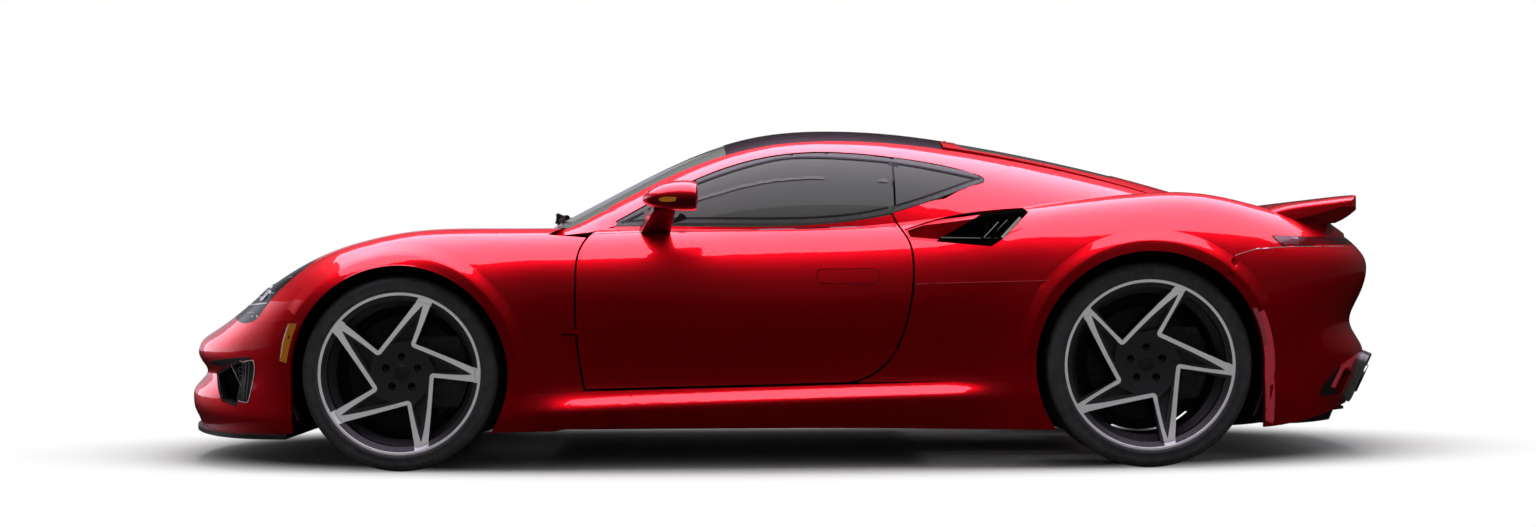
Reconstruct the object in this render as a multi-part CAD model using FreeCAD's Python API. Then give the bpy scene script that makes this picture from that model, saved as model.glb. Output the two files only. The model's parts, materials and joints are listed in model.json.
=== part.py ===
"""A mid-engined two-door coupe, in millimetres.

The nose points to -X, the left side to -Y, and Z is up. The origin is on the ground,
midway along the car and on its middle plane. The lines are drawn from a point that lies
DRAWN millimetres ahead of it, and each piece's placement carries it back. The bodywork is
one form, worked out from a few running lines, and its panels are cut from that form along
the real seams.
"""
import FreeCAD, Part
import math
import os

doc = FreeCAD.newDocument("coupe")

DRIVING = [
    ("overall_length", 4250, "splitter tip to the end of the tail"),
    ("front_overhang", 862, "splitter tip to the front axle"),
    ("wheelbase", 2500, "front axle to rear axle"),
    ("half_width", 950, "middle plane to the front fender at its widest"),
    ("waist_half_width", 905, "middle plane to the door skin"),
    ("rear_half_width", 966, "middle plane to the rear fender at its widest"),
    ("roof_height", 1175, "ground to the top of the roof"),
    ("sill_height", 128, "ground to the lower edge of the bodywork"),
    ("door_wall", 42, "whole thickness of a door"),
    ("panel_wall", 14, "thickness of the fenders, bumpers, hood and lid with their inner frames"),
    ("door_skin", 8, "thickness of a door's outer skin at its edge"),
    ("roof_wall", 30, "whole thickness of the roof and its rails"),
    ("glass_inset", 2.5, "how far the glass lies below the bodywork's surface"),
    ("glass_thick", 6, "thickness of the glass"),
    ("panel_gap", 7, "gap round a panel that opens"),
    ("seam_gap", 0.6, "gap between two fixed panels"),
    ("front_tyre_radius", 327.5, "245/30 R20"),
    ("front_tyre_width", 245, "245/30 R20"),
    ("front_rim_radius", 271.5, "outside of the 20 inch rim's flange"),
    ("front_hub_depth", 66, "front wheel's lip to its centre"),
    ("rear_tyre_radius", 343, "305/25 R21"),
    ("rear_tyre_width", 300, "305/25 R21"),
    ("rear_rim_radius", 284, "outside of the 21 inch rim's flange"),
    ("rear_hub_depth", 88, "rear wheel's lip to its centre"),
    ("front_wheel_face", 918, "middle plane to the front tyre's outer wall"),
    ("rear_wheel_face", 938, "middle plane to the rear tyre's outer wall"),
    ("front_arch_radius", 362, "front wheel arch"),
    ("rear_arch_radius", 379, "rear wheel arch"),
    ("arch_band", 38, "width of the raised band round each arch"),
    ("band_height", 4, "how far that band stands out"),
    ("disc_radius", 190, "brake disc"),
    ("disc_thick", 32, "brake disc"),
    ("hub_radius", 72, "wheel's centre flange"),
    ("bolt_circle", 112, "pitch circle of the five wheel bolts"),
    ("bolt_hole", 7.5, "radius of a wheel bolt's hole"),
    ("bearing_gap", 0.05, "running clearance of a wheel's stub on its carrier"),
    ("stub_radius", 30, "stub axle that carries a wheel"),
]

sheet = doc.addObject("Spreadsheet::Sheet", "Sizes")
for row, (alias, value, meaning) in enumerate(DRIVING, 1):
    sheet.set(f"A{row}", meaning)
    sheet.set(f"B{row}", str(value))
    sheet.setAlias(f"B{row}", alias)
doc.recompute()


def size(alias):
    return float(sheet.get(alias))


V = FreeCAD.Vector
DRAWN = 15.0
NOSE_TIP = -size("overall_length") / 2 - DRAWN
TAIL_TIP = size("overall_length") / 2 - DRAWN
FRONT_AXLE = NOSE_TIP + size("front_overhang")
REAR_AXLE = FRONT_AXLE + size("wheelbase")
NOSE = NOSE_TIP + 27
TAIL = TAIL_TIP + 1
GAP = size("panel_gap")
SEAM = size("seam_gap") / 2
FRONT_WHEEL_Z = size("front_tyre_radius")
REAR_WHEEL_Z = size("rear_tyre_radius")


class Line:
    """A running line: a natural cubic spline through a few (position, value) points."""

    def __init__(self, *points):
        self.at = [p[0] for p in points]
        self.value = [p[1] for p in points]
        count = len(points)
        step = [b - a for a, b in zip(self.at, self.at[1:])]
        low = [0.0] * count
        mid = [1.0] * count
        high = [0.0] * count
        bend = [0.0] * count
        for i in range(1, count - 1):
            low[i] = step[i - 1]
            mid[i] = 2 * (step[i - 1] + step[i])
            high[i] = step[i]
            rise = (self.value[i + 1] - self.value[i]) / step[i]
            fall = (self.value[i] - self.value[i - 1]) / step[i - 1]
            bend[i] = 6 * (rise - fall)
        for i in range(1, count):
            share = low[i] / mid[i - 1]
            mid[i] -= share * high[i - 1]
            bend[i] -= share * bend[i - 1]
        self.bend = [0.0] * count
        for i in range(count - 2, 0, -1):
            self.bend[i] = (bend[i] - high[i] * self.bend[i + 1]) / mid[i]
        self.step = step

    def __call__(self, x):
        i = 0
        while i < len(self.step) - 1 and x > self.at[i + 1]:
            i += 1
        step = self.step[i]
        t = min(max((x - self.at[i]) / step, -0.5), 1.5)
        s = 1 - t
        curve = (s ** 3 - s) * self.bend[i] + (t ** 3 - t) * self.bend[i + 1]
        return s * self.value[i] + t * self.value[i + 1] + step * step / 6 * curve


def ease(start, stop, x):
    """0 before start, 1 after stop, and a smooth step between them."""
    t = min(max((x - start) / (stop - start), 0.0), 1.0)
    return t * t * (3 - 2 * t)


# Running lines of the lower body, from nose to tail
HALF = size("half_width")
WAIST_HALF = size("waist_half_width")
REAR_HALF = size("rear_half_width")
ROOF_DROP = size("roof_height") - 1175
side = Line((NOSE, HALF - 50), (FRONT_AXLE - 250, HALF - 6), (FRONT_AXLE, HALF), (FRONT_AXLE + 330, HALF - 9),
            (-640, WAIST_HALF + 4), (-100, WAIST_HALF - 3), (450, WAIST_HALF + 2), (800, REAR_HALF - 26),
            (REAR_AXLE, REAR_HALF), (REAR_AXLE + 350, REAR_HALF - 12), (TAIL, REAR_HALF - 62))
peak = Line((NOSE, 408), (NOSE + 80, 462), (NOSE + 185, 524), (NOSE + 360, 630), (NOSE + 530, 724),
            (NOSE + 725, 786), (FRONT_AXLE, 806), (FRONT_AXLE + 250, 816), (FRONT_AXLE + 500, 815),
            (0, 832), (500, 846), (REAR_AXLE - 300, 890), (REAR_AXLE, 920), (REAR_AXLE + 150, 924),
            (REAR_AXLE + 300, 903), (REAR_AXLE + 460, 862), (TAIL - 200, 812), (TAIL, 755))
centre = Line((NOSE, 400), (NOSE + 185, 505), (NOSE + 530, 655), (FRONT_AXLE, 742), (FRONT_AXLE + 450, 790),
              (0, 815), (500, 825), (REAR_AXLE, 865), (REAR_AXLE + 460, 845), (TAIL - 200, 803), (TAIL, 745))
waist = Line((NOSE, 380), (NOSE + 300, 430), (FRONT_AXLE, 560), (0, 560), (REAR_AXLE, 640), (TAIL, 560))
peak_share = Line((NOSE, 0.72), (FRONT_AXLE, 0.70), (0, 0.74), (REAR_AXLE, 0.74), (TAIL, 0.74))
tuck = Line((NOSE, 10), (FRONT_AXLE, 26), (-700, 62), (-100, 66), (450, 62), (REAR_AXLE - 350, 30),
            (REAR_AXLE, 22), (TAIL, 40))
sill_line = Line((NOSE, 232), (-1640, 236), (-891, 255), (-665, 261), (195, 278), (814, 293), (TAIL, 300))
ledge_line = Line((NOSE, 190), (-900, 192), (-722, 199), (610, 244), (900, 252), (TAIL, 258))
LEDGE = 40.0
FOOT = 14.0

# Profiles of the nose and of the tail: how far each height stands back from the end
nose_back = Line((90, 4), (148, 1), (183, -17), (240, -24), (265, -19), (318, 34), (357, 5), (403, -3),
                 (430, 2), (460, 20), (520, 40))
tail_back = Line((90, 90), (199, 80), (344, 12), (393, 20), (457, 68), (546, 40), (627, 8), (670, 2),
                 (700, 8), (735, 30), (780, 60))
STATION = 62.0
NOSE_ROUND = (820.0, 2.7)
TAIL_ROUND = (700.0, 3.0)
SHOULDER = 2.35
END_FALL = 2.0

# Running lines of the cabin
CABIN_FLOOR = 700.0
CABIN_SIDES = 2.4
roof = Line((-980, 730), (-810, 838), (-695, 901), (-506, 1001), (-224, 1124), (-36, 1167), (152, 1178),
            (435, 1162), (622, 1135), (998, 1061), (1373, 965), (1560, 908), (1760, 845), (1960, 780))
cabin = Line((-980, 690), (-740, 735), (-400, 775), (0, 800), (400, 790), (800, 745), (1150, 660),
             (1560, 520), (1960, 400))


def end_round(gap, reach, power):
    if gap >= reach:
        return 1.0
    return max(0.0, 1 - (1 - max(gap, 0.0) / reach) ** power) ** (1 / power)


def half_width_at(x, inset):
    front = end_round(x - NOSE - inset, *NOSE_ROUND)
    rear = end_round(TAIL - inset - x, *TAIL_ROUND)
    return (side(x) - inset) * front * rear


SWELL = 12.0
SWELL_REACH = 170.0
ARCHES = ((FRONT_AXLE, FRONT_WHEEL_Z, size("front_arch_radius")),
          (REAR_AXLE, REAR_WHEEL_Z, size("rear_arch_radius")))


def flare(x, z):
    """The muscle of the body round each wheel arch, in millimetres outwards."""
    out = 0.0
    for axle, height, radius in ARCHES:
        away = math.hypot(x - axle, z - height) - radius
        out += SWELL * (1 - ease(10, SWELL_REACH, away))
    return out


def ledge(x):
    """How far the sill's ledge stands out between the wheels."""
    return LEDGE * ease(-880, -715, x) * (1 - ease(560, 760, x))


def tucked(x, z, widest):
    """How far the side stands inwards at a height below its widest line."""
    seam = sill_line(x)
    edge = ledge_line(x)
    inwards = tuck(x) * ease(widest, seam, z)
    inwards -= ledge(x) * ease(seam, edge, z)
    return inwards + (FOOT + 0.8 * ledge(x)) * ease(edge - 4, size("sill_height"), z)


def body_section(x, inset, floor):
    """Points from the middle of the top, over the fender's peak, down to the lower edge."""
    width = half_width_at(x, inset)
    top = centre(x) - inset
    full = ease(0.0, 0.45, width / WAIST_HALF)
    crest = top + (peak(x) - inset - top) * full - END_FALL * (1 - full)
    widest = min(waist(x), crest - 60)
    inner = peak_share(x) * width
    points = []
    for i in range(8):
        s = i / 8
        points.append((inner * s, top + (crest - top) * s * s * (3 - 2 * s)))
    for i in range(12):
        turn = math.pi / 2 * i / 12
        out = inner + (width - inner) * math.sin(turn) ** (2 / SHOULDER)
        points.append((out, widest + (crest - widest) * math.cos(turn) ** (2 / SHOULDER)))
    seam = sill_line(x)
    edge = ledge_line(x)
    heights = [widest + (seam - widest) * i / 6 for i in range(6)]
    heights += [seam, (seam + edge) / 2, edge + 7, edge - 9, edge - 24, (edge + size("sill_height")) / 2]
    for z in heights:
        points.append((width - tucked(x, z, widest) * width / HALF, z))
    points.append((width - tucked(x, size("sill_height"), widest) * width / HALF, floor))
    return points


def placed(x, y, z):
    """A point of the lower body, pushed to the profile of the nose and of the tail."""
    front = 1 - ease(NOSE + 60, NOSE + 420, x)
    rear = ease(TAIL - 420, TAIL - 60, x)
    return V(x + nose_back(z) * front - tail_back(z) * rear, -y, z)


def cabin_section(x, inset, floor):
    half = cabin(x) - inset
    rise = roof(x) + ROOF_DROP - inset - CABIN_FLOOR
    points = []
    for i in range(21):
        turn = math.pi / 2 * i / 20
        points.append((half * math.sin(turn) ** (2 / CABIN_SIDES),
                       CABIN_FLOOR + rise * math.cos(turn) ** (2 / CABIN_SIDES)))
    for i in range(1, 4):
        points.append((half, CABIN_FLOOR + (floor - CABIN_FLOOR) * i / 3))
    return points


def flat_copy(curve):
    """The curve's shadow on the middle plane."""
    shadow = curve.copy()
    for i, pole in enumerate(shadow.getPoles(), 1):
        shadow.setPole(i, V(pole.x, 0, pole.z))
    return shadow


def knots_for(count):
    """Even knots of a cubic spline that starts and ends on its first and last point."""
    inside = count - 4
    return [4] + [1] * inside + [4], [float(i) for i in range(inside + 2)]


def half_solid(rows):
    """The left half of a form, from rows of points that run from its middle to its lower edge."""
    u_times, u_knots = knots_for(len(rows))
    v_times, v_knots = knots_for(len(rows[0]))
    skin = Part.BSplineSurface()
    skin.buildFromPolesMultsKnots(rows, u_times, v_times, u_knots, v_knots, False, False, 3, 3)
    u0, u1, v0, v1 = skin.bounds()
    ridge = skin.vIso(v0)
    foot = skin.vIso(v1)
    first = skin.uIso(u0)
    last = skin.uIso(u1)
    first_flat = flat_copy(first)
    last_flat = flat_copy(last)
    corner = [foot.value(foot.FirstParameter), foot.value(foot.LastParameter)]
    inner = [V(p.x, 0, p.z) for p in corner]
    base = Part.Wire([foot.toShape(), Part.makeLine(corner[1], inner[1]), Part.makeLine(inner[1], inner[0]),
                      Part.makeLine(inner[0], corner[0])])
    middle = Part.Wire(Part.__sortEdges__([ridge.toShape(), last_flat.toShape(), first_flat.toShape(),
                                           Part.makeLine(inner[0], inner[1])]))
    faces = [skin.toShape(), Part.Face(base), Part.Face(middle),
             Part.makeRuledSurface(first.toShape(), first_flat.toShape()),
             Part.makeRuledSurface(last.toShape(), last_flat.toShape())]
    joined = Part.Compound(faces)
    joined.sewShape(0.05)
    return Part.Solid(joined.Shells[0])


def end_stations(start, reach, count, sign):
    return [start + sign * reach * (1 - math.cos(math.pi / 2 * i / count)) for i in range(count)]


def body_half(inset, floor):
    start = NOSE + inset + 0.05
    stop = TAIL - inset - 0.05
    stations = end_stations(start, NOSE_ROUND[0], 22, 1)
    x = start + NOSE_ROUND[0]
    last = stop - TAIL_ROUND[0]
    count = round((last - x) / STATION)
    stations += [x + (last - x) * i / count for i in range(count)]
    stations += [last] + list(reversed(end_stations(stop, TAIL_ROUND[0], 20, -1)))
    rows = []
    for at in stations:
        row = []
        for y, z in body_section(at, inset, floor):
            swell = 0.0 if inset > 0 else flare(at, z) * ease(0.86, 0.97, y / half_width_at(at, inset))
            row.append(placed(at, y + swell, z))
        rows.append(row)
    return half_solid(rows)


def cabin_half(inset, floor, start, stop):
    rows = []
    for i in range(37):
        at = start + (stop - start) * i / 36
        rows.append([V(at, -y, z) for y, z in cabin_section(at, inset, floor)])
    return half_solid(rows)


def body_part(name, shape):
    """A sub-part whose solids are worked out here; it sits in the car's own frame."""
    piece = doc.addObject("Part::Feature", name)
    piece.Label = name
    piece.Shape = shape
    piece.Placement = FreeCAD.Placement(V(DRAWN, 0, 0), FreeCAD.Rotation()) * shape.Placement
    parts.append(piece)
    return piece


def mirrored(shape):
    return shape.mirror(V(0, 0, 0), V(0, 1, 0))


def both_sides(shape):
    return Part.Compound([shape, mirrored(shape)])


def whole(shape):
    """A piece that crosses the middle plane, from its left half."""
    joined = shape.fuse(mirrored(shape))
    return joined.removeSplitter()


def edge_curve(points):
    spots = [V(a, b, 0) for a, b in points]
    if len(spots) == 2:
        return Part.LineSegment(spots[0], spots[1])
    curve = Part.BSplineCurve()
    curve.interpolate(spots)
    return curve


def grown(sides, gap):
    """The outline's sides moved outwards by gap, or inwards where it is negative."""
    turn = sum(a[0] * b[1] - b[0] * a[1] for side in sides for a, b in zip(side, side[1:]))
    sign = 1 if turn > 0 else -1
    normals = []
    for points in sides:
        curve = edge_curve(points)
        ways = [curve.tangent(curve.parameter(V(a, b, 0)))[0] for a, b in points]
        normals.append([V(way.y, -way.x, 0) * sign for way in ways])
    moved = []
    for i, points in enumerate(sides):
        before = normals[i - 1][-1]
        after = normals[(i + 1) % len(sides)][0]
        shift = list(normals[i])
        shift[0] = (before + shift[0]) * (1 / max(0.4, 1 + before.dot(shift[0])))
        shift[-1] = (after + shift[-1]) * (1 / max(0.4, 1 + after.dot(shift[-1])))
        moved.append([(a + gap * n.x, b + gap * n.y) for (a, b), n in zip(points, shift)])
    return moved


def outline_face(sides, gap):
    return Part.Face(Part.Wire([edge_curve(points).toShape() for points in grown(sides, gap)]))


def side_block(sides, near, far, gap=0.0):
    """An outline of (x, z) points carried across the car from y = -near to y = -far."""
    face = outline_face(sides, gap)
    face.rotate(V(0, 0, 0), V(1, 0, 0), 90)
    face.translate(V(0, -near, 0))
    return face.extrude(V(0, near - far, 0))


def plan_block(sides, low, high, gap=0.0):
    """An outline of (x, y) points carried upwards."""
    face = outline_face(sides, gap)
    face.translate(V(0, 0, low))
    return face.extrude(V(0, 0, high - low))


def front_block(sides, start, stop, gap=0.0):
    """An outline of (y, z) points carried along the car from x = start to x = stop."""
    face = outline_face(sides, gap)
    face.rotate(V(0, 0, 0), V(1, 1, 1), 120)
    face.translate(V(start, 0, 0))
    return face.extrude(V(stop - start, 0, 0))


def straight(*corners):
    """An outline with straight sides, from its corners."""
    return [[a, b] for a, b in zip(corners, corners[1:] + corners[:1])]


def strap(points, width, deep):
    """A flat arm of even width along (a, b) points, from z = 0 to z = deep."""
    pieces = []
    for a, b in points:
        pieces.append(Part.makeCylinder(width / 2, deep, V(a, b, 0)))
    for (a, b), (c, d) in zip(points, points[1:]):
        bar = Part.makeBox(math.hypot(c - a, d - b), width, deep, V(0, -width / 2, 0))
        bar.rotate(V(0, 0, 0), V(0, 0, 1), math.degrees(math.atan2(d - b, c - a)))
        bar.translate(V(a, b, 0))
        pieces.append(bar)
    return pieces[0].fuse(pieces[1:]).removeSplitter()


def upright_strap(points, width, near, far):
    """The same along (x, z) points, from y = -near to y = -far."""
    arm = strap(points, width, far - near)
    arm.rotate(V(0, 0, 0), V(1, 0, 0), 90)
    arm.translate(V(0, -near, 0))
    return arm


def around(x, y, *reaches):
    """Points at the given (radius, degrees) from a pin."""
    return [(x + r * math.cos(math.radians(turn)), y + r * math.sin(math.radians(turn))) for r, turn in reaches]


def box(x0, x1, y0, y1, z0, z1):
    return Part.makeBox(x1 - x0, y1 - y0, z1 - z0, V(x0, y0, z0))


def rod(radius, start, end):
    way = V(*end) - V(*start)
    return Part.makeCylinder(radius, way.Length, V(*start), way)


def largest(shape, count=1):
    return sorted(shape.Solids, key=lambda solid: -solid.Volume)[:count]


parts = []

# Master forms
WALL = size("door_wall")
THIN = size("panel_wall")
OUTSIDE = 1200.0
body_outer = body_half(0.0, size("sill_height"))
body_inner = body_half(WALL, 60.0)
cabin_outer = cabin_half(0.0, 600.0, -980, 1960)
cabin_inner = cabin_half(size("roof_wall"), 640.0, -860, 1480)
glass_outer = cabin_half(size("glass_inset"), 640.0, -880, 1500)
glass_inner = cabin_half(size("glass_inset") + size("glass_thick"), 630.0, -875, 1495)
skin = body_outer.fuse(cabin_outer)
hollow_skin = skin.cut(cabin_inner)
shell = hollow_skin.cut(body_inner)
thin_shell = hollow_skin.cut(body_half(THIN, 60.0))
glass = glass_outer.cut(glass_inner).cut(body_outer)


def arch(axle, height, radius):
    """A wheel's opening through the side of the body."""
    return Part.makeCylinder(radius, 700, V(axle, -OUTSIDE, height), V(0, 1, 0))


# Seams in side view, as (x, z) points; each outline is a list of its sides
BELT = [(376, 855), (250, 834), (108, 821), (-346, 819), (-600, 819)]
door_seam = [[(-640, 797), (-683, 720), (-689, 647), (-690, 470), (-665, 266)],
             [(-665, 266), (195, 283)],
             [(195, 283), (285, 302), (362, 363), (415, 480), (437, 596), (440, 696), (430, 755), (410, 793),
              (376, 855)],
             BELT,
             [(-600, 819), (-640, 797)]]
window_seam = [[(-600, 819), (-469, 893), (-311, 976), (-71, 1057), (102, 1077), (394, 1056), (600, 1018),
                (690, 990)],
               [(690, 990), (706, 975), (661, 951)],
               [(661, 951), (530, 903), (376, 855)],
               BELT]
PILLAR_X = 388.0
nose_seam = [[(-2300, 0), (-1640, 0)],
             [(-1640, 0), (-1640, 503)],
             [(-1640, 503), (-1768, 502), (-1868, 508), (-2040, 560), (-2300, 640)],
             [(-2300, 640), (-2300, 0)]]
lamp_seam = [[(-1880, 511), (-1780, 508), (-1765, 518)],
             [(-1765, 518), (-1735, 560), (-1694, 609), (-1640, 660), (-1570, 725)],
             [(-1570, 725), (-1640, 760), (-1860, 680), (-2040, 600)],
             [(-2040, 600), (-1960, 545), (-1880, 511)]]
tail_seam = [[(2400, 0), (1590, 0)],
             [(1590, 0), (1600, 300), (1560, 480), (1480, 640), (1505, 694)],
             [(1505, 694), (1557, 719), (1611, 729), (1800, 736), (2400, 740)],
             [(2400, 740), (2400, 0)]]
sill_seam = [[(-1640, 0), (1640, 0)],
             [(1640, 0), (1640, 300)],
             [(1640, 300), (814, 293), (195, 278), (-665, 261), (-891, 255), (-1640, 230)],
             [(-1640, 230), (-1640, 0)]]
rail_seam = [[(680, 968), (760, 1004), (860, 1046), (940, 1090)]]
foot_seam = [[(-790, 790), (-700, 835), (-640, 850)],
             [(-640, 850), (-640 + GAP, 850)],
             [(-640 + GAP, 850), (-700 + GAP, 835 - GAP), (-560, 770)],
             [(-560, 770), (-790, 790)]]
vent_seam = [[(415, 800), (583, 847), (745, 868), (820, 872)],
             [(820, 872), (834, 856)],
             [(834, 856), (737, 763)],
             [(737, 763), (700, 740)],
             [(700, 740), (428, 766)],
             [(428, 766), (415, 800)]]
tail_lamp = [[(1690, 766), (2300, 766)],
             [(2300, 766), (2300, 740)],
             [(2300, 740), (1715, 740)],
             [(1715, 740), (1690, 766)]]
nose_vent = [[(-1962, 322), (-1832, 372)],
             [(-1832, 372), (-1822, 352)],
             [(-1822, 352), (-1850, 212)],
             [(-1850, 212), (-1915, 228)],
             [(-1915, 228), (-1962, 322)]]

# Seams in top view, as (x, y) points on the left side, past the middle plane by SPAN
SPAN = 30.0
HEADER = -190.0
ROOF_END = 576.0
LID_END = 1530.0
LID_BOW = 40.0
LID_FLAT = -200.0
BOW = 20.0
roof_edge = Line((-900, 640), (-711, 607), (-457, 525), (-150, 482), (105, 464), (555, 448), (1000, 430),
                 (1560, 395), (1700, 380))


def roof_points(start, stop, count):
    spots = [start + (stop - start) * i / count for i in range(count + 1)]
    return [(x, -roof_edge(x)) for x in spots]


wind_seam = [[(-862, SPAN), (-862, 0), (-845, -300), (-740, -roof_edge(-740))],
             roof_points(-740, HEADER, 5),
             [(HEADER, -roof_edge(HEADER)), (HEADER - BOW, 0), (HEADER - BOW, SPAN)],
             [(HEADER - BOW, SPAN), (-862, SPAN)]]
roof_seam = [[(HEADER - BOW, SPAN), (HEADER - BOW, 0), (HEADER, -roof_edge(HEADER))],
             roof_points(HEADER, ROOF_END, 5),
             [(ROOF_END, -roof_edge(ROOF_END)), (ROOF_END, SPAN)],
             [(ROOF_END, SPAN), (HEADER - BOW, SPAN)]]
LID_START = ROOF_END + 2
lid_seam = [[(LID_START, SPAN), (LID_START, -roof_edge(LID_START))],
            roof_points(LID_START, LID_END - LID_BOW, 6),
            [(LID_END - LID_BOW, -roof_edge(LID_END - LID_BOW)), (LID_END, LID_FLAT), (LID_END, SPAN)],
            [(LID_END, SPAN), (LID_START, SPAN)]]
rear_window = [[(640, SPAN), (640, -330)],
               [(640, -330), (670, -372)],
               [(670, -372), (1180, -330)],
               [(1180, -330), (1215, -290)],
               [(1215, -290), (1225, SPAN)],
               [(1225, SPAN), (640, SPAN)]]
hood_seam = [[(-2035, SPAN), (-2035, 0), (-2015, -200), (-1960, -345)],
             [(-1960, -345), (-1850, -450), (-1570, -545), (-1278, -600), (-905, -640)],
             [(-905, -640), (-898, -300), (-905, 0), (-905, SPAN)],
             [(-905, SPAN), (-2035, SPAN)]]

# Hinge pins: the door's is upright, the hood's and the lid's lie across the car
PIN_FIT = size("bearing_gap")
DOOR_PIN = (-800.0, -869.0)
DOOR_PIN_RADIUS = 6.0
DOOR_HINGES = (470.0, 640.0)
ARM_TALL = 24.0
HOOD_PIN = (-845.0, 770.0)
HOOD_HINGE_Y = 420.0
LID_PIN = (459.5, 1114.0)
LID_HINGE_Y = 150.0
LID_PIN_RADIUS = 4.5
ARM_WIDE = 16.0
SWING_CLEAR = 5.0

# Panels
HALF_GAP = GAP / 2
NEAR = 300.0
WINDOW_DEEP = 420.0
arches = [arch(*place) for place in ARCHES]
band_layer = body_half(-size("band_height"), size("sill_height")).cut(body_half(THIN / 2, 60.0))
open_shell = thin_shell
for axle, height, radius in ARCHES:
    open_shell = open_shell.fuse(band_layer.common(arch(axle, height, radius + size("arch_band"))))
open_shell = open_shell.cut(arches)


def cut_in_turn(shape, blocks):
    for block in blocks:
        shape = shape.cut(block)
    return shape


door_hole = side_block(door_seam, OUTSIDE, NEAR, HALF_GAP)
window_hole = side_block(window_seam, OUTSIDE, WINDOW_DEEP)
sill_hole = side_block(sill_seam, OUTSIDE, NEAR, SEAM)
nose_hole = side_block(nose_seam, OUTSIDE, -SPAN, SEAM)
tail_hole = side_block(tail_seam, OUTSIDE, -SPAN, SEAM)
lamp_hole = side_block(lamp_seam, OUTSIDE, NEAR, SEAM)
tail_lamp_hole = side_block(tail_lamp, OUTSIDE, -SPAN, SEAM)
hood_hole = plan_block(hood_seam, 450, 1000, HALF_GAP)
roof_hole = plan_block(roof_seam, 900, 1300, SEAM)
lid_hole = plan_block(lid_seam, 700, 1300, HALF_GAP)
wind_hole = plan_block(wind_seam, 700, 1300, SEAM)

TRAY_WALL = 4.0

# A door is a thin outer skin over a thick inner frame that stands back from its front edge
FRAME_BACK = 45.0
door_block = side_block(door_seam, OUTSIDE, NEAR, -HALF_GAP)
door_full = largest(shell.common(door_block))[0]
door_front_strip = side_block([[(-760, 200), (-620, 200)],
                               [(-665 + FRAME_BACK, 200), (-665 + FRAME_BACK, 266)],
                               [(-665 + FRAME_BACK, 266)] + [(x + FRAME_BACK, z)
                                                            for x, z in reversed(door_seam[0][:-1])],
                               [(-640 + FRAME_BACK, 797), (-580, 900)],
                               [(-580, 900), (-760, 900)],
                               [(-760, 900), (-760, 200)]], OUTSIDE, NEAR)
inner_layer = body_half(size("door_skin"), 60.0)
door_skin = door_full.cut(door_front_strip.common(inner_layer))
door_skin = largest(door_skin)[0]
# The flush handle is marked off by a groove in the skin
HANDLE_GROOVE = 1.5
handle = [[(133, 620), (311, 620)],
          [(311, 620), (323, 625), (327, 637)],
          [(327, 637), (327, 651)],
          [(327, 651), (323, 663), (311, 668)],
          [(311, 668), (133, 668)],
          [(133, 668), (121, 663), (117, 651)],
          [(117, 651), (117, 637)],
          [(117, 637), (121, 625), (133, 620)]]
groove = side_block(handle, OUTSIDE, NEAR, HANDLE_GROOVE).cut(side_block(handle, OUTSIDE, NEAR, -HANDLE_GROOVE))
door_skin = door_skin.cut(groove.cut(inner_layer))

skirt_half = open_shell.common(side_block(sill_seam, OUTSIDE, NEAR, -SEAM))
skirt_half = [solid for solid in largest(skirt_half, 3) if abs(solid.CenterOfMass.x) < 500][0]
skirt_half = skirt_half.cut(door_hole)
hood_half = largest(thin_shell.common(plan_block(hood_seam, 450, 1000, -HALF_GAP)))[0]
hood_x, hood_z = HOOD_PIN
hood_arm = upright_strap(around(hood_x, hood_z, (0, 0), (85, 230), (98, 188), (106, 165.3)), 12,
                         HOOD_HINGE_Y - ARM_WIDE / 2, HOOD_HINGE_Y + ARM_WIDE / 2)
hood_eye = rod(10, (hood_x, -HOOD_HINGE_Y - ARM_WIDE / 2, hood_z), (hood_x, -HOOD_HINGE_Y + ARM_WIDE / 2, hood_z))
hood_bore = rod(DOOR_PIN_RADIUS + PIN_FIT, (hood_x, -HOOD_HINGE_Y - 20, hood_z), (hood_x, -HOOD_HINGE_Y + 20, hood_z))
hood_half = hood_half.fuse([hood_arm, hood_eye]).cut(hood_bore)
roof_half = largest(shell.common(plan_block(roof_seam, 900, 1300, -SEAM)).cut(lid_hole))[0]
lid_x, lid_z = LID_PIN
for y in (-LID_HINGE_Y - 14.5, -LID_HINGE_Y + 8.5):
    roof_half = roof_half.fuse(box(lid_x - 12, lid_x + 12, y, y + 6, lid_z - 12, lid_z + 20))
roof_half = roof_half.fuse(rod(LID_PIN_RADIUS, (lid_x, -LID_HINGE_Y - 14.5, lid_z), (lid_x, -LID_HINGE_Y + 14.5, lid_z)))
lid_half = thin_shell.common(plan_block(lid_seam, 700, 1300, -HALF_GAP)).cut(cabin_half(THIN, 640.0, -860, 1480))
lid_half = largest(lid_half)[0].cut(plan_block(rear_window, 700, 1300, SEAM))
# The lid's rear edge follows its own swing, so that it clears the deck behind it
lid_corner = -roof_edge(LID_END - LID_BOW)
swings = [math.hypot(x + HALF_GAP - lid_x, lid_z - roof(x)) - SWING_CLEAR for x in (LID_END - LID_BOW, LID_END)]
sweep = Part.makeCone(*swings, LID_FLAT - lid_corner, V(lid_x, lid_corner, lid_z), V(0, 1, 0))
lid_half = lid_half.common(sweep.fuse(rod(swings[1], (lid_x, LID_FLAT, lid_z), (lid_x, 0, lid_z))))
lid_arm = upright_strap(around(lid_x, lid_z, (0, 0), (130, -60), (145, -20), (148, 6)), 12,
                        LID_HINGE_Y - ARM_WIDE / 2, LID_HINGE_Y + ARM_WIDE / 2)
lid_eye = rod(8.5, (lid_x, -LID_HINGE_Y - ARM_WIDE / 2, lid_z), (lid_x, -LID_HINGE_Y + ARM_WIDE / 2, lid_z))
lid_bore = rod(LID_PIN_RADIUS + PIN_FIT, (lid_x, -LID_HINGE_Y - 20, lid_z), (lid_x, -LID_HINGE_Y + 20, lid_z))
lid_half = lid_half.fuse([lid_arm, lid_eye]).cut(lid_bore)
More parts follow.
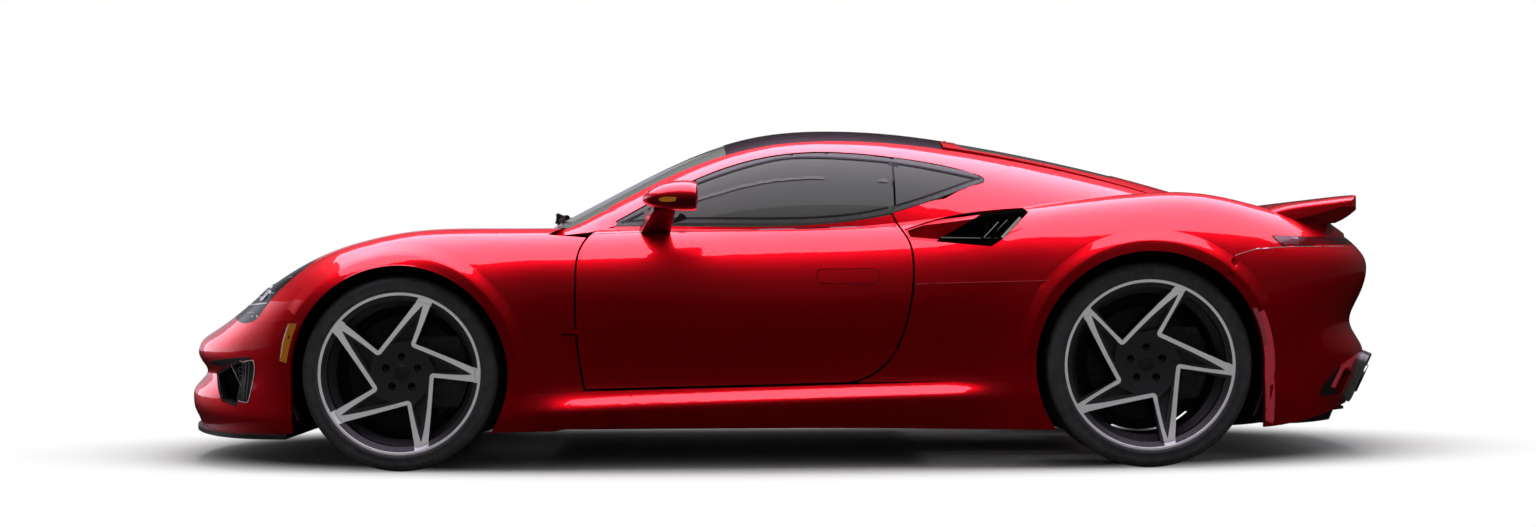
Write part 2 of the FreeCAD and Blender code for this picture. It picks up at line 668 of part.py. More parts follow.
windshield_half = largest(glass.common(plan_block(wind_seam, 700, 1300, -SEAM)))[0]
rear_glass_half = largest(glass.common(plan_block(rear_window, 700, 1300)))[0]
lamp_half = largest(thin_shell.common(side_block(lamp_seam, OUTSIDE, NEAR, -SEAM)).cut(hood_hole))[0]

# Side windows: the door's pane reaches down into a slot in the door
SLOT = 24.0
side_glass = glass_outer.cut(glass_inner)
pillar_cut = box(PILLAR_X - HALF_GAP, PILLAR_X + HALF_GAP, -OUTSIDE, 0, 700, 1200)
upper_panes = side_glass.cut(body_outer).common(side_block(window_seam, OUTSIDE, WINDOW_DEEP, -SEAM))
upper_panes = largest(upper_panes.cut(pillar_cut), 2)
quarter_pane = max(upper_panes, key=lambda pane: pane.CenterOfMass.x)
PANE_GAP = 5.5
pane_block = side_block([window_seam[0], window_seam[1], window_seam[2],
                         [(376, 855), (368, 855 - SLOT)],
                         [(368, 855 - SLOT)] + [(x, z - SLOT) for x, z in BELT[1:-1]] + [(-560, 819 - SLOT)],
                         [(-560, 819 - SLOT), (-600, 819)]], OUTSIDE, WINDOW_DEEP, -PANE_GAP)
pane_block = pane_block.cut(box(PILLAR_X - HALF_GAP, 900, -OUTSIDE, 0, 700, 1200))
door_pane = largest(side_glass.common(pane_block))[0]
slot_outer = cabin_half(size("glass_inset") - 0.4, 640.0, -880, 1500)
slot_inner = cabin_half(size("glass_inset") + size("glass_thick") + 0.4, 630.0, -875, 1495)
door_skin = largest(door_skin.cut(slot_outer.cut(slot_inner).common(
    side_block([[(-600, 790), (400, 790)], [(400, 790), (400, 900)], [(400, 900), (-600, 900)],
                [(-600, 900), (-600, 790)]], OUTSIDE, WINDOW_DEEP))))[0]

# Door hinges: two goosenecks that clear the fender's edge when the door is open
door_arms = []
for z in DOOR_HINGES:
    gooseneck = strap(around(*DOOR_PIN, (0, 0), (130, 55), (172, 14), (215, -0.8)), 14, ARM_TALL)
    eye = Part.makeCylinder(12, ARM_TALL, V(*DOOR_PIN, 0))
    bore = Part.makeCylinder(DOOR_PIN_RADIUS + PIN_FIT, ARM_TALL + 2, V(*DOOR_PIN, -1))
    piece = gooseneck.fuse(eye).cut(bore)
    piece.translate(V(0, 0, z - ARM_TALL / 2))
    door_arms.append(piece)
door_skin = door_skin.fuse(door_arms)

MOUTH = straight((SPAN, 178), (-360, 178), (-452, 200), (-425, 286), (-330, 301), (SPAN, 306))
VENT_DEEP = 560.0
bumper_half = open_shell.common(side_block(nose_seam, OUTSIDE, -SPAN, -SEAM))
bumper_half = cut_in_turn(bumper_half, [hood_hole, lamp_hole, side_block(nose_vent, OUTSIDE, VENT_DEEP),
                                        front_block(MOUTH, -2300, -1900)])

# The tail's lower edge climbs, and a dark panel with the tail pipes stands proud of it
under_tail = [[(1590, 0), (1590, 132)],
              [(1590, 132), (1676, 139), (1862, 172), (1946, 183)],
              [(1946, 183), (1982, 201)],
              [(1982, 201), (2400, 206)],
              [(2400, 206), (2400, 0)],
              [(2400, 0), (1590, 0)]]
slab_side = straight((1926, 120), (1930, 185), (2028, 352), (2400, 352), (2400, 120))
SLAB_HALF = 590.0
SLAB_OUT = 8.0
slab_block = side_block(slab_side, SLAB_HALF, -SPAN)
slab_half = body_half(-SLAB_OUT, 100.0).cut(body_half(26.0, 60.0)).common(slab_block)
slab_half = slab_half.cut(side_block(under_tail, OUTSIDE, -SPAN))
side_outlet = straight((1921, 318), (1882, 252), (1912, 226), (1922, 226), (1960, 300))
tail_half = open_shell.common(side_block(tail_seam, OUTSIDE, -SPAN, -SEAM))
tail_half = cut_in_turn(tail_half, [tail_lamp_hole, side_block(under_tail, OUTSIDE, -SPAN),
                                    side_block(slab_side, SLAB_HALF + 2 * SEAM, -SPAN, 2 * SEAM),
                                    side_block(side_outlet, OUTSIDE, SLAB_HALF + 12)])
# Each side outlet ends in a closed tray behind the skin
outlet_tray = side_block(side_outlet, OUTSIDE, SLAB_HALF + 12, TRAY_WALL)
outlet_tray = outlet_tray.cut(side_block(side_outlet, OUTSIDE, SLAB_HALF + 12 + TRAY_WALL)).common(body_outer)
tail_half = tail_half.fuse(outlet_tray)
lamp_bar_half = largest(thin_shell.common(side_block(tail_lamp, OUTSIDE, -SPAN)))[0]

fender_block = side_block([[(-1950, 250), (-880, 250)],
                           [(-880, 250), (-600, 255)],
                           [(-600, 255), (-600, 960)],
                           [(-600, 960), (-1950, 960)],
                           [(-1950, 960), (-1950, 250)]], OUTSIDE, -SPAN)
fender_half = open_shell.common(fender_block)
fender_half = cut_in_turn(fender_half, [door_hole, sill_hole, nose_hole, hood_hole, wind_hole, lamp_hole,
                                        side_block(foot_seam, OUTSIDE, NEAR)])
# The fender's wall is thinner where the door's goosenecks swing round its edge
for z in DOOR_HINGES:
    half_tall = ARM_TALL / 2 + SWING_CLEAR + 1
    fender_half = fender_half.cut(box(-765, -655, DOOR_PIN[1] - 28, DOOR_PIN[1] + 29, z - half_tall, z + half_tall))
rail_block = side_block([[(-760, 780), (-600, 835)],
                         [(-600, 835), (660, 940)],
                         [(660, 940), (680, 968)],
                         rail_seam[0],
                         [(940, 1090), (940, 1300)],
                         [(940, 1300), (-760, 1300)],
                         [(-760, 1300), (-760, 780)]], OUTSIDE, 250)
rail_half = shell.common(rail_block)
rail_half = cut_in_turn(rail_half, [window_hole, roof_hole, lid_hole, wind_hole, door_hole, fender_half])
quarter_block = side_block([[(180, 617), (2300, 617)],
                            [(2300, 617), (2300, 1090)],
                            [(2300, 1090), (940, 1090 + 2 * SEAM)],
                            [(x, z + 2 * SEAM) for x, z in reversed(rail_seam[0])],
                            [(680, 968 + 2 * SEAM), (560, 905)],
                            [(560, 905), (180, 840)],
                            [(180, 840), (180, 617)]], OUTSIDE, -SPAN)
quarter_half = open_shell.common(quarter_block)
quarter_half = cut_in_turn(quarter_half, [door_hole, window_hole, lid_hole, tail_hole, tail_lamp_hole,
                                          side_block(vent_seam, OUTSIDE, 700), largest(rail_half)[0]])
flank_block = side_block([[(180, 285), (1300, 293)],
                          [(1300, 293), (1300, 616.4)],
                          [(1300, 616.4), (180, 616.4)],
                          [(180, 616.4), (180, 285)]], OUTSIDE, NEAR)
flank_half = cut_in_turn(open_shell.common(flank_block), [door_hole, sill_hole])


def tidy(shape, count):
    """The largest solids of a cut, without its slivers."""
    return Part.Compound(largest(shape, count)) if count > 1 else largest(shape)[0]


# Body: outer panels
fender_whole = whole(tidy(fender_half, 1))
body_part("front_fenders", fender_whole)
body_part("front_bumper", whole(tidy(bumper_half, 1)))
body_part("roof_panel", whole(roof_half))
body_part("roof_rails", both_sides(tidy(rail_half, 1)))
body_part("windshield", whole(windshield_half))
body_part("quarter_glass", both_sides(quarter_pane))
quarter_main = whole(tidy(quarter_half, 1))
body_part("rear_quarters", Part.Compound([quarter_main, flank_half, mirrored(flank_half)]))
body_part("side_skirts", both_sides(skirt_half))
lamp_bar = whole(lamp_bar_half)
body_part("rear_bumper", whole(tidy(tail_half, 1)))
body_part("tail_lights", lamp_bar)
body_part("headlights", both_sides(lamp_half))

# Hood and engine lid
body_part("hood", whole(hood_half))
body_part("engine_lid", whole(lid_half))
body_part("rear_glass", whole(rear_glass_half))

# Splitter: a thin blade under the nose
blade = [[(NOSE_TIP, SPAN), (NOSE_TIP, 0), (-2085, -400), (-1960, -700), (-1830, -860), (-1655, -922)],
         [(-1655, -922), (-1650, SPAN)],
         [(-1650, SPAN), (NOSE_TIP, SPAN)]]
blade_half = plan_block(blade, 112, size("sill_height") - 0.3)
body_part("front_splitter", whole(blade_half))

# Doors
left_door = [("door_left", door_skin), ("door_glass_left", door_pane)]
MIRROR_Y = 992.0


def mirror_ring(x, half_wide, half_tall, middle):
    """One oval section of the mirror's cap."""
    oval = Part.Ellipse(V(x, -MIRROR_Y, middle), half_wide, half_tall)
    oval.Axis = V(1, 0, 0)
    oval.XAxis = V(0, 1, 0)
    return Part.Wire(oval.toShape())


cap = Part.makeLoft([mirror_ring(-457, 24, 9, 902), mirror_ring(-440, 55, 24, 905),
                     mirror_ring(-405, 82, 39, 910), mirror_ring(-350, 97, 49, 913),
                     mirror_ring(-300, 98, 50, 912), mirror_ring(-279, 93, 46, 911)], True, False)
glass_well = Part.makeLoft([mirror_ring(-278, 85, 39, 911), mirror_ring(-287, 85, 39, 911)], True, True)
stalk = Part.makeLoft([
    Part.Wire(Part.makePolygon([V(-492, -740, 772), V(-384, -740, 772), V(-384, -740, 798), V(-492, -740, 798),
                                V(-492, -740, 772)])),
    Part.Wire(Part.makePolygon([V(-424, -950, 866), V(-352, -950, 866), V(-352, -950, 886), V(-424, -950, 886),
                                V(-424, -950, 866)]))], True, True)
mirror_shape = tidy(cap.cut(glass_well).fuse(stalk).cut(skin), 1)
left_door.append(("mirror_left", mirror_shape))
for name, shape in left_door:
    body_part(name, shape)
    body_part(name.replace("left", "right"), mirrored(shape))

# Side vents: a dark frame and three slanted vanes in each rear fender's intake
VENT_WALL = 8.0
vent_tray = side_block(vent_seam, OUTSIDE, 770, -SEAM).common(body_half(3.0, 60.0))
vent_tray = vent_tray.cut(side_block(vent_seam, OUTSIDE, 800, -VENT_WALL))
vane_limit = side_block(vent_seam, OUTSIDE, 790, -SEAM).common(body_half(14.0, 60.0))
for k in range(3):
    foot = 664 + 31 * k
    head = 716 + 36 * k
    vane = side_block(straight((foot, 740), (foot + 6, 740), (head + 8, 880), (head, 880)), OUTSIDE, 790)
    vent_tray = vent_tray.fuse(vane.common(vane_limit))
body_part("side_intakes", both_sides(tidy(vent_tray, 1)))

# Nose: a slatted tray behind the mouth, and a tray behind each corner intake
TRAY_BACK = -1990.0
tray_limit = body_half(3.0, 60.0)
mouth_half = front_block(MOUTH, -2300, TRAY_BACK, -SEAM).cut(front_block(MOUTH, -2301, TRAY_BACK - 12, -VENT_WALL))
slat_limit = body_half(20.0, 60.0).common(front_block(MOUTH, -2300, TRAY_BACK, -SEAM))
slats = [box(-2200, TRAY_BACK, -460, SPAN, z, z + 4).common(slat_limit) for z in (203, 227, 251, 275)]
mouth_half = mouth_half.common(tray_limit).fuse(slats).cut(box(-2400, -1800, 0, 2 * SPAN, 0, 500))
corner = side_block(nose_vent, OUTSIDE, VENT_DEEP, -SEAM).common(tray_limit)
corner = corner.cut(side_block(nose_vent, OUTSIDE + 1, VENT_DEEP + 30, -VENT_WALL))
body_part("nose_grilles", Part.Compound([whole(tidy(mouth_half, 1)), tidy(corner, 1), mirrored(tidy(corner, 1))]))


def ring(outer, inner, length, x, y, z):
    tube = Part.makeCylinder(outer, length, V(x, y, z), V(0, 1, 0))
    return tube.cut(Part.makeCylinder(inner, length, V(x, y, z), V(0, 1, 0)))


def revolved(profile):
    """A solid of revolution about the Y axis, from (radius, y) points."""
    spots = [V(r, y, 0) for r, y in profile]
    face = Part.Face(Part.makePolygon(spots + [spots[0]]))
    return face.revolve(V(0, 0, 0), V(0, 1, 0), 360)


liner_limit = body_half(THIN + 0.3, 60.0)


HOUSE_BORE = 235.0


def liner(axle, height, radius, near, far):
    shape = ring(radius + 6, radius, near - far, axle, -near, height)
    shape = shape.fuse(ring(radius + 6, HOUSE_BORE, 6, axle, -far, height))
    shape = shape.cut(box(axle - 700, axle + 700, -near - 1, -far + 10, 0, 170))
    return tidy(shape.common(liner_limit), 1)


body_part("wheel_liners", Part.Compound([
    piece for half in (liner(FRONT_AXLE, FRONT_WHEEL_Z, size("front_arch_radius") + 14, 980, 470),
                       liner(REAR_AXLE, REAR_WHEEL_Z, size("rear_arch_radius") + 8, 990, 600))
    for piece in (half, mirrored(half))]))


# Wheels
SPOKES = 5


def tyre_solid(outer, flange, seat, width):
    return revolved([
        (flange + 0.4, 6), (flange + 16, 0), (outer - 22, 2), (outer - 7, 9), (outer, 26), (outer, width - 26),
        (outer - 7, width - 9), (outer - 22, width - 2), (flange + 16, width), (flange + 0.4, width - 6),
        (flange + 0.4, width - 22), (seat + 0.2, width - 27), (seat + 0.2, width - 44), (flange + 10, width - 22),
        (outer - 16, width - 20), (outer - 14, width / 2), (outer - 16, 20), (flange + 10, 22), (seat + 0.2, 44),
        (seat + 0.2, 27), (flange + 0.4, 22)])


RIB = 17.0
POCKET = 15.0


def inset_triangle(corners, wall):
    """The triangle inside another, with its sides moved inwards by wall."""
    a, b, c = corners
    opposite = [math.dist(b, c), math.dist(a, c), math.dist(a, b)]
    round_it = sum(opposite)
    middle = [sum(way * spot[i] for way, spot in zip(opposite, corners)) / round_it for i in (0, 1)]
    area = abs((b[0] - a[0]) * (c[1] - a[1]) - (b[1] - a[1]) * (c[0] - a[0])) / 2
    share = 1 - wall * round_it / (2 * area)
    return [(middle[0] + (x - middle[0]) * share, middle[1] + (y - middle[1]) * share) for x, y in corners]


def rim_solid(flange, seat, width, depth, lean):
    well = seat - 20
    wall = 9
    barrel = revolved([
        (flange, 8), (flange, 21), (seat, 27), (seat, 62), (well, 88), (well, width - 66), (seat, width - 46),
        (seat, width - 27), (flange, width - 21), (flange, width - 8), (flange - 7, width - 8),
        (seat - wall, width - 34), (well - wall, width - 70), (well - wall, 88), (seat - wall, 60),
        (seat - wall, 24), (flange - 7, 8)])
    tip = seat - wall / 2
    reach = [(tip * share, 16 + (depth - 16) * (1 - share ** 1.7)) for share in (0, 0.2, 0.4, 0.6, 0.8, 1.0)]
    back = [(r, y + 34 + 12 * (1 - r / tip)) for r, y in reversed(reach)]
    dish = revolved(reach + back)
    star = Part.makeCylinder(0.34 * flange, width, V(0, 0, 0), V(0, 1, 0))
    for k in range(SPOKES):
        root = math.radians(71 + 72 * k)
        after = math.radians(71 + 72 * (k + 1))
        end = math.radians(lean + 72 * k)
        inner = 0.40 * flange
        half_tip = 0.075
        spots = [V(0, 0, 0)]
        spots += [V(inner * math.cos(root - 0.12), 0, inner * math.sin(root - 0.12))]
        spots += [V(flange * math.cos(end - half_tip), 0, flange * math.sin(end - half_tip))]
        spots += [V(flange * math.cos(end + half_tip), 0, flange * math.sin(end + half_tip))]
        spots += [V(inner * math.cos(after - 0.12), 0, inner * math.sin(after - 0.12)), V(0, 0, 0)]
        star = star.fuse(Part.Face(Part.makePolygon(spots)).extrude(V(0, width, 0)))
    hub = Part.makeCylinder(size("hub_radius"), 30, V(0, depth + 14, 0), V(0, 1, 0))
    rim = dish.common(star)
    front = [(r, y + POCKET) for r, y in reach]
    layer = revolved([(0, -5), (tip, -5)] + list(reversed(front)))
    for k in range(SPOKES):
        root = math.radians(71 + 72 * k) - 0.12
        after = root + math.radians(72)
        end = math.radians(lean + 72 * k)
        corners = [(0.40 * flange, root), (0.40 * flange, after), (0.97 * flange, end)]
        pocket = inset_triangle([(r * math.cos(a), r * math.sin(a)) for r, a in corners], RIB)
        spots = [V(a, 0, b) for a, b in pocket]
        well_block = Part.Face(Part.makePolygon(spots + [spots[0]])).extrude(V(0, width, 0))
        rim = rim.cut(well_block.common(layer))
    rim = rim.fuse(hub).fuse(barrel)
    cuts = [Part.makeCylinder(size("stub_radius") + size("bearing_gap"), 100, V(0, depth + 10, 0), V(0, 1, 0))]
    for k in range(SPOKES):
        turn = math.radians(18 + 72 * k)
        spot = V(size("bolt_circle") / 2 * math.cos(turn), 0, size("bolt_circle") / 2 * math.sin(turn))
        cuts.append(Part.makeCylinder(size("bolt_hole"), 200, spot, V(0, 1, 0)))
        cuts.append(Part.makeCylinder(13, depth + 18, spot, V(0, 1, 0)))
    return rim.cut(cuts).removeSplitter()


def disc_solid(depth):
    """Brake disc with its hat, seated on the rim's inner face."""
    face = depth + 44
    hat = ring(size("hub_radius"), size("stub_radius") + size("bearing_gap"), 26, 0, face, 0)
    plate = ring(size("disc_radius"), size("hub_radius") - 8, size("disc_thick"), 0, face + 18, 0)
    return hat.fuse(plate).removeSplitter()


def carrier(depth):
    """Hub carrier with its stub axle and brake caliper, in the wheel's own frame."""
    back = depth + 44
    stub = rod(size("stub_radius"), (0, depth + 24, 0), (0, back + 70, 0))
    housing = rod(62, (0, back + 56, 0), (0, back + 112, 0))
    caliper = ring(size("disc_radius") + 26, 108, size("disc_thick") + 54, 0, back + 6, 0)
    wedge = box(40, 260, 0, 400, -120, 120)
    caliper = caliper.common(wedge)
    slot = ring(size("disc_radius") + 6, 60, size("disc_thick") + 12, 0, back + 12, 0)
    caliper = caliper.cut(slot)
    bracket = box(50, 150, back + 60, back + 84, -60, 60)
    return stub.fuse([housing, caliper.cut(slot), bracket.cut(slot)]).removeSplitter()


def set_at(shape, x, y, z):
    moved = shape.copy()
    moved.translate(V(x, y, z))
    return moved


for place, x, z, face, radius, flange, width, depth, lean, drop in (
        ("front", FRONT_AXLE, FRONT_WHEEL_Z, size("front_wheel_face"), size("front_tyre_radius"),
         size("front_rim_radius"), size("front_tyre_width"), size("front_hub_depth"), 69.7, 17.5),
        ("rear", REAR_AXLE, REAR_WHEEL_Z, size("rear_wheel_face"), size("rear_tyre_radius"),
         size("rear_rim_radius"), size("rear_tyre_width"), size("rear_hub_depth"), 66.0, 17.3)):
    for name, shape in (("rim", rim_solid(flange, flange - drop, width, depth, lean)),
                        ("tyre", tyre_solid(radius, flange, flange - drop, width)),
                        ("brake_disc", disc_solid(depth))):
        left = set_at(shape, x, -face, z)
        body_part(f"{name}_{place}_left", left)
        body_part(f"{name}_{place}_right", mirrored(left))

# Front knuckles, steered about an upright axis, and the fixed rear uprights
PIN = 12.0
front_carrier = set_at(carrier(size("front_hub_depth")), FRONT_AXLE, -size("front_wheel_face"), FRONT_WHEEL_Z)
post_y = -size("front_wheel_face") + size("front_hub_depth") + 44 + 84
rear_carrier = set_at(carrier(size("rear_hub_depth")), REAR_AXLE, -size("rear_wheel_face"), REAR_WHEEL_Z)
post_rear = -size("rear_wheel_face") + size("rear_hub_depth") + 44 + 84


def posts(x, y, z):
    column = rod(20, (x, y, z - 130), (x, y, z + 140))
    pins = rod(PIN, (x, y, z - 165), (x, y, z + 175))
    return column.fuse(pins)


knuckle = front_carrier.fuse(posts(FRONT_AXLE, post_y, FRONT_WHEEL_Z)).removeSplitter()
body_part("knuckle_left", knuckle)
body_part("knuckle_right", mirrored(knuckle))
upright = rear_carrier.fuse(posts(REAR_AXLE, post_rear, REAR_WHEEL_Z)).removeSplitter()
body_part("rear_uprights", both_sides(upright))


def arm(x, y, z, inner, height):
    """An A-arm from the pin's eye to two pivots on the subframe."""
    eye = rod(28, (x, y, z), (x, y, z + height))
    legs = [rod(11, (x, y, z + height / 2), (x + way, -inner, z + height / 2)) for way in (-140, 140)]
    shape = eye.fuse(legs)
    return shape.cut(rod(PIN + size("bearing_gap"), (x, y, z - 5), (x, y, z + height + 5)))


RAIL_OUT = {"front": 380.0, "rear": 400.0}
arms = []
for x, y, z, inner in ((FRONT_AXLE, post_y, FRONT_WHEEL_Z, RAIL_OUT["front"]),
                       (REAR_AXLE, post_rear, REAR_WHEEL_Z, RAIL_OUT["rear"])):
    for level in (z - 160, z + 145):
        piece = arm(x, y, level, inner - 10, 24)
        piece = piece.cut(box(x - 400, x + 400, -inner - 0.3, 0, 0, 800))
        arms += [piece, mirrored(piece)]
body_part("suspension_arms", Part.Compound(arms))

# Chassis
floor = box(-800, 500, -800, 800, 130, 150)
sill_bar = box(-800, 500, -900, -710, 150, 250).common(liner_limit)
sill_bars = [sill_bar, mirrored(sill_bar)]
front_wall = box(-840, -800, -700, 700, 130, 620)
rear_wall = box(480, 520, -720, 720, 130, 700)
tunnel = box(-800, 480, -90, 90, 150, 330)
tub = floor.fuse(sill_bars + [front_wall, rear_wall, tunnel]).removeSplitter()
pin_x, pin_y = DOOR_PIN
PLATE = 6.0
posts_and_pins = [box(-870, -825, pin_y + 9, -690, 200, 700)]
for z in DOOR_HINGES:
    for low in (z - ARM_TALL / 2 - 0.5 - PLATE, z + ARM_TALL / 2 + 0.5):
        posts_and_pins.append(box(-870, pin_x + 10, pin_y - 11, pin_y + 60, low, low + PLATE))
    posts_and_pins.append(rod(DOOR_PIN_RADIUS, (pin_x, pin_y, z - 19), (pin_x, pin_y, z + 19)))
for y in (-HOOD_HINGE_Y - 14.5, -HOOD_HINGE_Y + 8.5):
    posts_and_pins.append(box(hood_x - 12, hood_x + 40, y, y + PLATE, 600, hood_z + 12))
posts_and_pins.append(rod(DOOR_PIN_RADIUS, (hood_x, -HOOD_HINGE_Y - 14.5, hood_z),
                          (hood_x, -HOOD_HINGE_Y + 14.5, hood_z)))
tub = tub.fuse(posts_and_pins + [mirrored(piece) for piece in posts_and_pins]).removeSplitter()
body_part("floor_tub", tub)
front_frame = box(-1450, -840, -380, -320, 150, 560).fuse([
    box(-1450, -840, 320, 380, 150, 560), box(-1450, -1390, -380, 380, 150, 230),
    box(-1150, -1100, -380, 380, 150, 230), box(-1450, -1390, -380, 380, 480, 560)])
rear_frame = box(520, 1560, -400, -340, 150, 240).fuse([
    box(520, 1560, 340, 400, 150, 240), box(1040, 1100, -400, 400, 150, 240),
    box(1500, 1560, -400, 400, 150, 240), box(1100, 1400, -400, -340, 240, 520),
    box(1100, 1400, 340, 400, 240, 520)])
body_part("subframes", Part.Compound([front_frame.removeSplitter(), rear_frame.removeSplitter()]))
body_part("engine_block", box(560, 1080, -300, 300, 240.3, 720))

# Cabin


def seat_half():
    """A bucket seat: cushion and back between raised bolsters, on two runners."""
    bolster = [[(-330, 190), (-352, 250), (-330, 322), (-200, 345), (40, 356)],
               [(40, 356), (86, 420), (150, 640), (196, 800)],
               [(196, 800), (225, 822), (262, 806)],
               [(262, 806), (230, 600), (196, 380), (150, 230)],
               [(150, 230), (100, 190)],
               [(100, 190), (-330, 190)]]
    pad = [[(-318, 195), (-338, 250), (-318, 292), (-200, 300), (52, 292)],
           [(52, 292), (104, 420), (176, 700), (214, 860)],
           [(214, 860), (222, 930), (262, 946), (300, 925)],
           [(300, 925), (292, 840), (236, 600), (190, 380), (140, 240)],
           [(140, 240), (100, 195)],
           [(100, 195), (-318, 195)]]
    wide = side_block(bolster, 620, 140).cut(side_block(straight((-400, 0), (400, 0), (400, 1000), (-400, 1000)),
                                                        552, 208))
    middle = side_block(pad, 552, 208)
    head_trim = side_block(straight((100, 822), (400, 822), (400, 1000), (100, 1000)), 552, 478)
    head_trim_inner = side_block(straight((100, 822), (400, 822), (400, 1000), (100, 1000)), 282, 208)
    middle = middle.cut(head_trim).cut(head_trim_inner)
    runners = [box(-290, 80, y, y + 30, 150.3, 200) for y in (-560, -230)]
    return wide.fuse([middle] + runners).removeSplitter()


body_part("seats", both_sides(seat_half()))
dash_side = [[(-799.7, 590), (-799.7, 742)],
             [(-799.7, 742), (-700, 752), (-610, 742), (-566, 706)],
             [(-566, 706), (-572, 660), (-640, 600)],
             [(-640, 600), (-799.7, 590)]]
dash = side_block(dash_side, 690, -690)
body_part("dashboard", dash)
wheel_ring = Part.makeTorus(180, 15, V(0, 0, 0), V(1, 0, 0))
spokes = box(-8, 8, -180, 180, -16, 16).fuse(box(-8, 8, -16, 16, -180, 0))
column = rod(22, (-8, 0, 0), (-260, 0, 0))
steering = wheel_ring.fuse([spokes, column])
steering.rotate(V(0, 0, 0), V(0, 1, 0), -24)
steering.translate(V(-400, -370, 700))
body_part("steering_wheel", tidy(steering.cut(dash), 1))

# Tail: a ducktail whose shoulders fall to the deck, over a hollow in each side
TAIL_FALL = 46.0
TAIL_SHOULDER = 7.0
duck_top = Line((1545, 816), (1676, 871), (1800, 893), (1950, 911), (1990, 915), (2060, 918))
duck_wide = Line((1545, 752), (1660, 784), (1780, 792), (1880, 776), (1960, 742), (2060, 700))


def ducktail():
    rows = []
    for i in range(19):
        x = 1545 + 515 * i / 18
        row = []
        for k in range(17):
            turn = math.pi / 2 * k / 16
            out = duck_wide(x) * math.sin(turn) ** (2 / TAIL_SHOULDER)
            row.append(V(x, -out, duck_top(x) - TAIL_FALL + TAIL_FALL * math.cos(turn) ** (2 / TAIL_SHOULDER)))
        rows.append(row + [V(x, -duck_wide(x), z) for z in (850, 825, 790)])
    return half_solid(rows)


duck_side = [[(1545, 800), (1545, 960)],
             [(1545, 960), (1990, 960)],
             [(1990, 960), (1990, 915)],
             [(1990, 915), (2003, 892)],
             [(2003, 892), (1960, 846), (1904, 814)],
             [(1904, 814), (1545, 800)]]
duck_plan = [[(1545, 0), (1545, -800)],
             [(1545, -800), (1800, -800)],
             [(1800, -800), (1900, -785), (1955, -735), (1980, -640)],
             [(1980, -640), (1995, -500), (2004, -300), (2010, 0)],
             [(2010, 0), (1545, 0)]]
duck_hollow = [[(1600, 800), (1626, 803)],
               [(1626, 803), (1770, 832), (1905, 868)],
               [(1905, 868), (2060, 868)],
               [(2060, 868), (2060, 800)],
               [(2060, 800), (1600, 800)]]
HOLLOW_Y = 688.0
spoiler_half = ducktail().common(side_block(duck_side, 820, 0)).common(plan_block(duck_plan, 700, 1000))
spoiler_half = spoiler_half.cut(side_block(duck_hollow, OUTSIDE, HOLLOW_Y))
spoiler_half = spoiler_half.cut(body_outer).cut(cabin_outer)
body_part("rear_spoiler", whole(tidy(spoiler_half, 1)))

# Diffuser: the proud panel, a climbing floor and its strakes
ramp = [[(1560, 112), (1676, 122), (1862, 154), (1960, 168)],
        [(1960, 168), (1960, 178)],
        [(1960, 178), (1862, 164), (1676, 131), (1560, 120)],
        [(1560, 120), (1560, 112)]]
strake = [[(1640, 119), (1700, 112), (1940, 122)],
          [(1940, 122), (1975, 205)],
          [(1975, 205), (1930, 190)],
          [(1930, 190), (1862, 160), (1676, 128), (1640, 119)]]
ramp_half = side_block(ramp, SLAB_HALF - 20, 0)
strakes = [side_block(strake, y + 3, y - 3) for y in (90, 270, 450)]
PIPE_Y = 420.0
PIPE_Z = 268.0
PIPE_RADIUS = 48.0
pipe_hole = Part.makeCylinder(PIPE_RADIUS + 0.3, 400, V(1800, -PIPE_Y, PIPE_Z), V(1, 0, 0))
diffuser_half = slab_half.cut(box(1800, 2300, 0, 2 * SPAN, 0, 500))
diffuser_half = diffuser_half.fuse([ramp_half] + strakes).cut(pipe_hole)
body_part("diffuser", whole(tidy(diffuser_half, 1)))
tip_left = ring(PIPE_RADIUS, PIPE_RADIUS - 4, 190, 0, 0, 0)
tip_left.rotate(V(0, 0, 0), V(0, 0, 1), -90)
tip_left.translate(V(1905, -PIPE_Y, PIPE_Z))
body_part("exhaust_tips", both_sides(tip_left))

doc.recompute()
os.makedirs("parts", exist_ok=True)
for item in doc.Objects:
    if "Invalid" in item.State or "Error" in item.State:
        raise SystemExit(f"{item.Label} failed")
for piece in parts:
    if piece.Shape.isNull() or not piece.Shape.isValid():
        raise SystemExit(f"{piece.Label} is not a valid shape")
for piece in parts:
    piece.Shape.exportStep(f"parts/{piece.Label}.step")
    print(piece.Label, len(piece.Shape.Solids), round(piece.Shape.Volume / 1e6, 3))
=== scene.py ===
# %% [markdown]
# A mid-engined two-door coupe, photographed from its left side in a bright studio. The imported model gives
# every piece its place; this lesson gives the pieces their finish and adds what metalwork drawings leave out.

# %% The frame
import bpy
import bmesh
import json
import math
from collections import namedtuple
from mathutils import Matrix, Quaternion, Vector
from mathutils.bvhtree import BVHTree


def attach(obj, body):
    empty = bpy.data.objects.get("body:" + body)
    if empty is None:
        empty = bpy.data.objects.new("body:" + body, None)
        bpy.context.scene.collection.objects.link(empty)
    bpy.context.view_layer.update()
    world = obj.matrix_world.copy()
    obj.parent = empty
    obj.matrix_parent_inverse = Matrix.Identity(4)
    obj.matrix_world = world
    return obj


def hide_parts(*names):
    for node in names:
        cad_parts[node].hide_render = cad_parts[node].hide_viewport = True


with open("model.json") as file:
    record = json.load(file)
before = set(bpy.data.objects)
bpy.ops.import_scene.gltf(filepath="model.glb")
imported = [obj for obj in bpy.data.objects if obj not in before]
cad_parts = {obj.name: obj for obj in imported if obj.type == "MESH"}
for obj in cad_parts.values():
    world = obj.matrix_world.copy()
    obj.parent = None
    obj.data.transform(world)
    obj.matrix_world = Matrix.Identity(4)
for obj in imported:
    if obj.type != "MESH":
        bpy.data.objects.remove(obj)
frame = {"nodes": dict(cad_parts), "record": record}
nodes = frame["nodes"]
scene = bpy.context.scene
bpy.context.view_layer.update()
print("pieces in the frame:", len(nodes))
HANDS = (("left", -1), ("right", 1))

